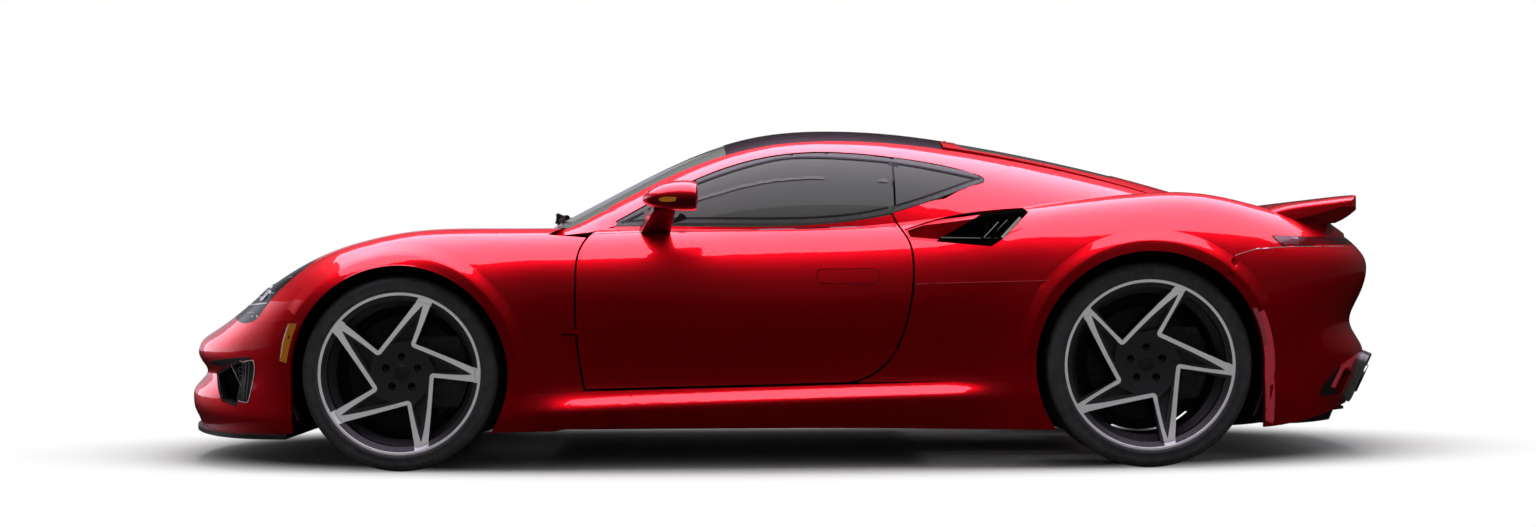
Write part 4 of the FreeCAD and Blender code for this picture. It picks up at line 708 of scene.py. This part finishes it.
def honeycomb(outline, radius, wire, y, thick, sign):
    form = bmesh.new()
    xs, zs = zip(*outline)
    across = 1.5 * radius
    up = math.sqrt(3) * radius
    for i in range(int((max(xs) - min(xs)) / across) + 2):
        for k in range(int((max(zs) - min(zs)) / up) + 2):
            x = min(xs) + across * i
            z = min(zs) + up * (k + 0.5 * (i % 2))
            if not inside((x, z), outline):
                continue
            rings = []
            for r, depth in ((radius, 0.0), (radius - wire, 0.0), (radius - wire, thick), (radius, thick)):
                rings.append([form.verts.new((x + r * math.cos(math.pi / 3 * t), sign * (y - depth),
                                              z + r * math.sin(math.pi / 3 * t))) for t in range(6)])
            walls(form, rings + rings[:1])
    bmesh.ops.recalc_face_normals(form, faces=form.faces)
    return form


INTAKE = ((-1912, 338), (-1880, 349), (-1847, 360), (-1810, 369), (-1786, 372), (-1779, 360), (-1779, 344),
          (-1785, 308), (-1793, 276), (-1803, 240), (-1812, 230), (-1841, 233), (-1864, 240), (-1884, 258),
          (-1899, 280), (-1910, 306))
BLADES = (((-1811, 364), (-1823, 240)), ((-1797, 366), (-1812, 240)))
MESH_EDGE = spots(((-1905, 344), (-1829, 370), (-1823, 344), (-1843, 250), (-1866, 262)))
# Radius of a cell, width of its wire, y of the mesh's face and its thickness
MESH_CELLS = (0.0078, 0.0014, 0.606, 0.004)
bumper_tree = skin_tree("front_bumper")
for hand, sign in HANDS:
    line_on(f"intake_line_{hand}", bumper_tree, INTAKE, 0.0028, 140, sign, bright, thick=0.003, closed=True)
    patch(f"intake_cheek_{hand}", bumper_tree, ((-1836, 364), (-1832, 344), (-1848, 276), (-1866, 236)),
          ((-1786, 372), (-1780, 348), (-1794, 276), (-1811, 231)), 40, sign, 0.0, 0.0022, satin)
    for k, ends in enumerate(BLADES):
        line_on(f"intake_blade_{k + 1}_{hand}", bumper_tree, ends, 0.004, 30, sign, grey_trim, thick=0.006)
    hand_over(f"intake_mesh_{hand}", honeycomb(MESH_EDGE, *MESH_CELLS, sign), bright)
    # A dark satin band laid on the skin above runs forward to the nose, painted shade standing for a shadowed
    # slot
    patch(f"nose_slot_painted_shade_{hand}", bumper_tree, ((-1990, 360), (-1925, 371), (-1857, 380), (-1788, 384)),
          ((-1986, 352), (-1921, 345), (-1857, 364), (-1788, 378)), 60, sign, 0.0, 0.0012, satin, across=5)

# %% [markdown]
# Behind each headlight's dark lens shine thin lines and small lamps, laid on the lens's face. Seen from the
# front, three round lamps stand in each lens over a strip of light.

# %% Headlights
# Two ends and a width for each line; y, z and radius for each round lamp
LAMP_LINES = ((((-1826, 534), (-1788, 534)), 0.0012), (((-1776, 524), (-1768, 517)), 0.005),
              (((-1795, 522), (-1791, 518)), 0.004), (((-1738, 599), (-1714, 599)), 0.0016),
              (((-1750, 589), (-1729, 588)), 0.0010), (((-1676, 652), (-1659, 653)), 0.0012))
ROUND_LAMPS = ((0.765, 0.590, 0.026), (0.700, 0.606, 0.030), (0.622, 0.618, 0.026))
# The strip of light: its inner end and length across the car, its two edges, and the rise of its outer end
STRIP_START = 0.52
STRIP_LONG = 0.30
STRIP_EDGES = (0.550, 0.555)
STRIP_RISE = 0.012
lamp_tree = skin_tree("headlights")


def circle(form, centre, first, second, radius, steps):
    turns = [2 * math.pi * k / steps for k in range(steps)]
    return [form.verts.new(centre + (first * math.cos(turn) + second * math.sin(turn)) * radius)
            for turn in turns]


def turned(profile, centre, normal, steps=40):
    """A closed form turned about a normal, from (radius, height) points."""
    form = bmesh.new()
    first = normal.orthogonal().normalized()
    second = normal.cross(first)
    rings = [circle(form, centre + normal * height, first, second, radius, steps)
             for radius, height in profile]
    walls(form, rings + rings[:1])
    bmesh.ops.recalc_face_normals(form, faces=form.faces)
    return form


def on_lamp(y, z):
    return hit(lamp_tree, (-FAR_OUT, y, z), (1, 0, 0))


for hand, sign in HANDS:
    for k, (ends, wide) in enumerate(LAMP_LINES):
        line_on(f"headlight_lamp_{k + 1}_{hand}", lamp_tree, ends, wide, 14, sign, lamp_white)
    for k, (y, z, radius) in enumerate(ROUND_LAMPS):
        spot, normal = on_lamp(sign * y, z)
        normal = -normal if normal.x > 0 else normal
        inner = radius - 0.0045
        form = turned(((radius, -0.004), (radius, 0.002), (radius - 0.002, 0.003), (radius - 0.004, 0.002),
                       (radius - 0.004, -0.004)), spot, normal)
        hand_over(f"headlight_ring_{k + 1}_{hand}", form, steel)
        form = turned(((inner, -0.004), (inner, 0.0), (radius * 0.6, 0.0016), (radius * 0.3, 0.0024),
                       (0.0006, 0.0026), (0.0006, -0.004)), spot, normal)
        hand_over(f"headlight_glass_{k + 1}_{hand}", form, lamp_white)
    rows = []
    for i in range(49):
        share = i / 48
        low, high = [on_lamp(sign * (STRIP_START + STRIP_LONG * share), level + STRIP_RISE * share ** 2)[0]
                     for level in STRIP_EDGES]
        if low is not None and high is not None:
            rows.append([low, high])
    hand_over(f"headlight_strip_{hand}", laid(rows, (-0.0025, 0, 0)), lamp_white)

# %% [markdown]
# Each mirror has a mirror glass let into its rear face, an amber repeater in its cap and a dark foot on
# the belt line. The pillar's painted foot closes the corner in front of the side window, and a small flap
# covers the fender's notch at the door's hinge. Thin lines draw the door's flush handle, the belt's edge and
# the seam across the quarter.

# %% Mirrors, pillars and the door's lines
# The mirror glass's middle and half size, each as y and z, and how far its outline is rounded
GLASS_MIDDLE = (0.992, 0.911)
GLASS_HALF = (0.066, 0.034)
GLASS_POWER = 0.7
# The pillar foot's upper and lower edge on the right side, and how far it bulges between them
FOOT_BULGE = 0.010
FOOT_HIGH = ((-0.560, 0.580, 0.893), (-0.596, 0.588, 0.877), (-0.640, 0.598, 0.856), (-0.680, 0.608, 0.834),
             (-0.720, 0.620, 0.812), (-0.765, 0.640, 0.796))
FOOT_LOW = ((-0.550, 0.706, 0.822), (-0.600, 0.738, 0.806), (-0.640, 0.752, 0.798), (-0.680, 0.752, 0.794),
            (-0.720, 0.730, 0.790), (-0.768, 0.700, 0.786))
MIRROR_FOOT = spots(((-374, 829), (-352, 850), (-345, 862), (-330, 856), (-309, 829)))
FLAP = ((-0.7115, 0.4578), (-0.690, 0.4572), (-0.6645, 0.4572), (-0.6645, 0.4702), (-0.678, 0.4702),
        (-0.690, 0.4680), (-0.702, 0.4635))
HANDLE = ((141, 668), (303, 666), (326, 657), (327, 632), (309, 620), (141, 622), (119, 630), (118, 660))
BELT = ((-655, 790), (-500, 796), (-370, 798), (-72, 803), (160, 808), (343, 812), (398, 808))
SEAM = ((446, 616), (600, 620), (800, 624), (940, 626))


def softened(share, half):
    return half * math.copysign(abs(share) ** GLASS_POWER, share)


for hand, sign in HANDS:
    tree = skin_tree(f"mirror_{hand}")
    body = f"door_{hand}"
    patch(f"mirror_repeater_{hand}", tree, ((-402, 901), (-380, 907), (-341, 905)),
          ((-397, 893), (-378, 891), (-347, 892)), 20, sign, 0.0, 0.0018, amber, body, across=3)
    middle = hit(tree, (0, sign * GLASS_MIDDLE[0], GLASS_MIDDLE[1]), (-1, 0, 0))[0]
    turns = [2 * math.pi * k / 40 for k in range(40)]
    form = plate([(middle.x - 0.001, sign * (GLASS_MIDDLE[0] + softened(math.cos(turn), GLASS_HALF[0])),
                   GLASS_MIDDLE[1] + softened(math.sin(turn), GLASS_HALF[1])) for turn in turns],
                 (0.0028, 0, 0))
    hand_over(f"mirror_glass_{hand}", form, mirror_face, body)
    foot = plate([(x, sign * 0.752, z) for x, z in MIRROR_FOOT], (0, -sign * 0.012, 0))
    hand_over(f"mirror_foot_{hand}", foot, satin, body)
    rows = []
    for one, two in zip(FOOT_HIGH, FOOT_LOW):
        row = [Vector(one).lerp(Vector(two), k / 6) for k in range(7)]
        rows.append([Vector((spot.x, sign * spot.y, spot.z + FOOT_BULGE * math.sin(math.pi * k / 6)))
                     for k, spot in enumerate(row)])
    hand_over(f"pillar_foot_{hand}", laid(rows, (0, -sign * 0.008, 0)), paint)
    flap = plate([(x, sign * 0.895, z) for x, z in FLAP], (0, -sign * 0.0018, 0))
    hand_over(f"hinge_flap_{hand}", flap, paint, body)
    door_tree = skin_tree(body)
    line_on(f"handle_line_{hand}", door_tree, HANDLE, 0.0022, 120, sign, stripe_paint, body, closed=True)
    line_on(f"quarter_seam_{hand}", haunch_tree, SEAM, 0.0018, 60, sign, stripe_paint)
    line_on(f"waist_line_{hand}", door_tree, BELT, 0.0035, 120, sign, roof_paint, body)

# %% [markdown]
# Two wipers lie at the foot of the windshield. Each is an arm and a blade, made by sweeping a small
# octagon along its line.


# %% Wipers
def tube(points, radius):
    form = bmesh.new()
    rings = []
    for i, spot in enumerate(points):
        way = (points[min(i + 1, len(points) - 1)] - points[max(i - 1, 0)]).normalized()
        side = way.cross(Vector((0, 0, 1))).normalized()
        rings.append(circle(form, spot, side, side.cross(way), radius, 8))
    walls(form, rings)
    form.faces.new(rings[0])
    form.faces.new(rings[-1])
    bmesh.ops.recalc_face_normals(form, faces=form.faces)
    return form


# The y of each blade's two ends, the curve of the windshield's foot that both follow, and the blades' lift
WIPERS = ((-0.47, 0.08), (0.12, 0.60))
FOOT_X = -0.815
FOOT_BOW = 0.34
TIP_BACK = 0.03
BLADE_LIFT = 0.016
shield_tree = skin_tree("windshield")
for k, (root_y, tip_y) in enumerate(WIPERS):
    line = []
    for i in range(25):
        share = i / 24
        y = root_y + (tip_y - root_y) * share
        spot = hit(shield_tree, (FOOT_X + FOOT_BOW * y ** 2 + TIP_BACK * share, y, OVERHEAD), (0, 0, -1))[0]
        if spot is not None:
            line.append(spot + Vector((0, 0, BLADE_LIFT)))
    hand_over(f"wiper_blade_{k + 1}", tube(line, 0.009), gasket)
    root = line[2] + Vector((-0.030, 0, -0.022))
    middle = line[len(line) // 2] + Vector((0, 0, 0.012))
    arm = [root, root + Vector((0.004, 0, 0.030)), root.lerp(middle, 0.2) + Vector((0, 0, 0.026)), middle]
    hand_over(f"wiper_arm_{k + 1}", tube(arm, 0.0075), satin)

# %% [markdown]
# At the tail the lamp runs forward into a pointed end, with a pale line below it and a dark one above. Low in
# the bumper's corner a recess is darkened by a black sheet of painted shade, and it has one painted face.
# A ridge crosses the tail under the spoiler, and light vanes stand in the intakes behind the doors.

# %% Tail lamps' ends, outlet recess
rear_tree = skin_tree("rear_quarters", "rear_bumper", "tail_lights")
for hand, sign in HANDS:
    patch(f"tail_tip_{hand}", rear_tree, ((1636, 769), (1700, 767), (1790, 762)),
          ((1672, 736), (1730, 736), (1800, 736)), 16, sign, 0.0012, 0.002, red_lens, across=6)
    line_on(f"tail_line_low_{hand}", rear_tree, ((1500, 704), (1540, 717), (1590, 726), (1700, 733),
                                                 (1850, 734), (1930, 735)), 0.0016, 60, sign, bright)
    line_on(f"tail_line_high_{hand}", rear_tree, ((1636, 771), (1760, 766), (1850, 760), (1900, 755)), 0.0016,
            40, sign, gasket)
    # The black sheet laid in the recess is painted shade.
    patch(f"outlet_painted_shade_{hand}", rear_tree, ((1887, 322), (1824, 260), (1816, 229)),
          ((1902, 329), (1872, 262), (1914, 229)), 16, sign, 0.0010, 0.002, gasket)
    patch(f"outlet_face_{hand}", rear_tree, ((1900, 329), (1878, 293), (1857, 258)),
          ((1972, 357), (1943, 300), (1913, 243)), 16, sign, 0.0016, 0.002, stripe_paint)

# %% Ridge across the tail, under the spoiler
# Reach forward from the tail's edge and rise over the skin, in metres
RIDGE = ((-0.001, -0.004), (0.0, 0.002), (0.004, 0.012), (0.020, 0.017), (0.040, 0.023), (0.050, 0.031),
         (0.056, 0.040), (0.070, 0.041), (0.110, 0.030), (0.150, 0.012), (0.180, -0.004))
# Half its width, where it has run out, the height of the tail's edge and the least height of the deck
RIDGE_HALF = 0.74
RIDGE_END = 0.75
TAIL_EDGE = 0.768
DECK_LOW = 0.70
rows = []
for i in range(81):
    y = RIDGE_HALF * (i / 40 - 1)
    back = hit(rear_tree, (FAR_OUT, y, TAIL_EDGE), (-1, 0, 0))[0]
    if back is None:
        continue
    fade = min(1.0, (1 - abs(y) / RIDGE_END) * 5)
    row = []
    for reach, rise in RIDGE:
        top = hit(rear_tree, (back.x - reach, y, OVERHEAD), (0, 0, -1))[0]
        level = top.z if top is not None and top.z > DECK_LOW else TAIL_EDGE
        row.append(Vector((back.x - reach, y, level + (rise * fade if rise > 0 else rise))))
    rows.append(row)
hand_over("tail_ridge", laid(rows, (0, 0, -0.003)), paint, angle=50)

# %% Vanes in the rear intakes
# Two ends and a width each
VANES = (((678, 770), (727, 822), 0.0022), ((705, 770), (765, 831), 0.0032), ((736, 769), (798, 836), 0.0090),
         ((540, 772), (744, 768), 0.0035))
vane_tree = skin_tree("side_intakes")
for hand, sign in HANDS:
    for k, (low, top, wide) in enumerate(VANES):
        low, top = [Vector(spot) for spot in spots((low, top))]
        deep = max(abs(on_side(vane_tree, *spot, sign).y) for spot in (low, top, low.lerp(top, 0.5))) + 0.004
        side = (top - low).orthogonal().normalized() * wide / 2
        bar = plate([(x, sign * deep, z) for x, z in (low - side, top - side, top + side, low + side)],
                    (0, -sign * 0.0025, 0))
        hand_over(f"intake_vane_{k + 1}_{hand}", bar, vane)

# %% [markdown]
# Each exhaust ends in a slanted frame with rounded corners, with the pipe inside. The bumper falls away
# outwards and downwards here, and the frame lies in its plane. The frames stand in for the plain pipes of
# the construction.

# %% Exhaust frames
# Width, height, corner radius and depth of each loop, from behind the bumper's face to inside the frame
FRAME_LOOPS = ((0.210, 0.140, 0.030, -0.060), (0.246, 0.174, 0.040, -0.036), (0.250, 0.178, 0.042, -0.030),
               (0.250, 0.178, 0.042, -0.004), (0.244, 0.172, 0.040, 0.0), (0.220, 0.148, 0.030, 0.0),
               (0.214, 0.142, 0.028, -0.003), (0.212, 0.140, 0.027, -0.008))
BACK_LOOPS = ((0.211, 0.139, 0.027, -0.010), (0.211, 0.139, 0.027, -0.0065))
PIPE = ((0.052, -0.020), (0.052, 0.005), (0.050, 0.007), (0.0475, 0.005), (0.0475, -0.020))
BORE = ((0.0476, -0.020), (0.0476, -0.003), (0.0006, -0.0035), (0.0006, -0.020))
CORNER_STEPS = 8
# The right frame's middle, and the ways across and up the bumper's face there
FRAME_SEAT = ((2.050, 0.52, 0.273), (-0.305, 0.952, 0), (0.427, 0, 0.904))


def rounded(wide, high, radius):
    ring = []
    for turn, (side, level) in enumerate(((1, 1), (-1, 1), (-1, -1), (1, -1))):
        for step in range(CORNER_STEPS + 1):
            angle = math.pi / 2 * (turn + step / CORNER_STEPS)
            ring.append((side * (wide / 2 - radius) + radius * math.cos(angle),
                         level * (high / 2 - radius) + radius * math.sin(angle)))
    return ring


def lofted(form, loops, centre, across, up, out):
    rings = []
    for wide, high, radius, depth in loops:
        rings.append([form.verts.new(centre + across * side + up * level + out * depth)
                      for side, level in rounded(wide, high, radius)])
    walls(form, rings)
    form.faces.new(rings[-1])
    form.faces.new(rings[0][::-1])
    bmesh.ops.recalc_face_normals(form, faces=form.faces)


frames = bmesh.new()
for hand, sign in HANDS:
    middle, across, up = [Vector((x, sign * y, z)) for x, y, z in FRAME_SEAT]
    up = (up - across * across.dot(up)).normalized()
    out = across.cross(up) * sign
    lofted(frames, FRAME_LOOPS, middle, across, up, out)
    back = bmesh.new()
    lofted(back, BACK_LOOPS, middle, across, up, out)
    hand_over(f"exhaust_back_{hand}", back, satin)
    hand_over(f"exhaust_pipe_{hand}", turned(PIPE, middle, out, 64), steel)
    hand_over(f"exhaust_bore_{hand}", turned(BORE, middle, out, 64), black)
hand_over("exhaust_frames", frames, surround, replaces=("exhaust_tips",))
print("details laid")

# %% [markdown]
# The studio is a pale floor under one large softbox. The floor takes the car's shadow, and away from the
# car it turns into plain white for the camera and for what is seen through glass, so that no horizon shows.
# Flat cards stand where only reflections see them, as a car photographer sets them. A black one over the
# floor darkens the lower doors, and pale ones above the car and beyond its nose draw the bright shoulder
# line and the glow on the front.

# %% Floor and cards
FLOOR_HALF = 30
CARD_HALF = 29
NEAR_END = -3.4
PALE = (0.86, 0.84, 1.0)
NO_LIGHT = (0.0, 0.0, 0.0)
# The shadow's patch is an ellipse with these half axes, and the white begins at a share of them
PATCH_LONG = 2.95
PATCH_WIDE = 1.35
WHITE_FROM = 0.68
floor_finish = Finish("studio_floor", Base_Color=(0.84, 0.84, 0.84), Roughness=0.7)
tree = floor_finish.tree
spot = floor_finish.node("VectorMath", {"operation": "MULTIPLY"}, output="Vector", i0=floor_finish.place(),
                         i1=(1 / PATCH_LONG, 1 / PATCH_WIDE, 0.0))
away = floor_finish.node("VectorMath", {"operation": "LENGTH"}, output="Value", i0=spot)
far = floor_finish.rise(away, WHITE_FROM, 1.0)


def seen_by_eye(tree):
    """1 for rays from the camera or through glass, else 0, and the node that tells rays apart."""
    rays = tree.nodes.new("ShaderNodeLightPath")
    seen = Value(tree, rays.outputs["Is Camera Ray"]) + Value(tree, rays.outputs["Is Transmission Ray"])
    return seen > 0.5, rays


white = tree.nodes.new("ShaderNodeEmission")
join = tree.nodes.new("ShaderNodeMixShader")
tree.links.new((far * seen_by_eye(tree)[0]).socket, join.inputs[0])
tree.links.new(floor_finish.shader.outputs[0], join.inputs[1])
tree.links.new(white.outputs[0], join.inputs[2])
tree.links.new(join.outputs[0], tree.nodes["Material Output"].inputs["Surface"])


def stand(name, corners, finish, only_reflected=True):
    """A flat piece of the studio."""
    form = bmesh.new()
    form.faces.new([form.verts.new(corner) for corner in corners])
    piece = placed(name, form, finish)
    for rays in ("camera", "diffuse", "shadow", "transmission"):
        setattr(piece, f"visible_{rays}", not only_reflected)


def level_card(x0, x1, half, z):
    return [(x0, -half, z), (x1, -half, z), (x1, half, z), (x0, half, z)]


def upright_card(x0, y0, x1, y1):
    return [(x0, y0, 0.1), (x1, y1, 0.1), (x1, y1, 4.5), (x0, y0, 4.5)]


stand("studio_floor", level_card(-FLOOR_HALF, FLOOR_HALF, FLOOR_HALF, 0.0), floor_finish,
      only_reflected=False)
card_finish = Finish("black_card", Base_Color=(0.004, 0.004, 0.004), Roughness=1.0, Specular_IOR_Level=0.0)
sky_finish = Finish("white_card", Base_Color=NO_LIGHT, Emission_Color=(0.92, 0.74, 1.0),
                    Emission_Strength=3.8)
# The card before the nose is black at the camera's side and grows pale away from it
front_finish = Finish("front_card", Base_Color=NO_LIGHT, Emission_Strength=2.0)
x, y, z = front_finish.axes()
front_finish.feed("Emission Color", front_finish.mix(front_finish.rise(y, NEAR_END, 3.0), NO_LIGHT, PALE))
far_finish = Finish("far_card", Base_Color=NO_LIGHT, Emission_Color=PALE, Emission_Strength=0.45)
stand("card_floor", level_card(-CARD_HALF, CARD_HALF, CARD_HALF, 0.004), card_finish)
stand("card_front", upright_card(-8, NEAR_END, -8, 7.0), front_finish)
stand("card_beyond", upright_card(-8, 7.0, -1.5, 13.0), far_finish)
stand("card_above", level_card(-3.8, 5.2, 3.1, 4.0), sky_finish)

# %% Light
world = bpy.data.worlds.new("studio")
scene.world = world
world.use_nodes = True
tree = world.node_tree
background = tree.nodes["Background"]
seen, rays = seen_by_eye(tree)
# The world is white to the eye, dim as a light and almost black in reflections
strength = seen * 0.7 + 0.3 - Value(tree, rays.outputs["Is Glossy Ray"]) * 0.27
tree.links.new(strength.socket, background.inputs["Strength"])
background.inputs["Color"].default_value = (1, 1, 1, 1)
light = bpy.data.lights.new("softbox_above", "AREA")
light.shape = "RECTANGLE"
light.size = 5.2
light.size_y = 3.0
light.energy = 205
softbox = bpy.data.objects.new("softbox_above", light)
softbox.location = (0, 0, 4.2)
softbox.rotation_euler = Vector((0, 0, -1)).to_track_quat("-Z", "Y").to_euler()
scene.collection.objects.link(softbox)
softbox.visible_glossy = False

# %% Camera
CAMERA = Vector((-0.031, -8.02, 0.6877))
ROLL = 0.00647
view = bpy.data.cameras.new("camera")
view.lens = 50
view.sensor_width = 36
camera = bpy.data.objects.new("camera", view)
camera.location = CAMERA
turn = Vector((0, 1, 0)).to_track_quat("-Z", "Y") @ Quaternion((0, 0, 1), -ROLL)
camera.rotation_euler = turn.to_euler()
scene.collection.objects.link(camera)
scene.camera = camera
scene.view_settings.view_transform = "Standard"
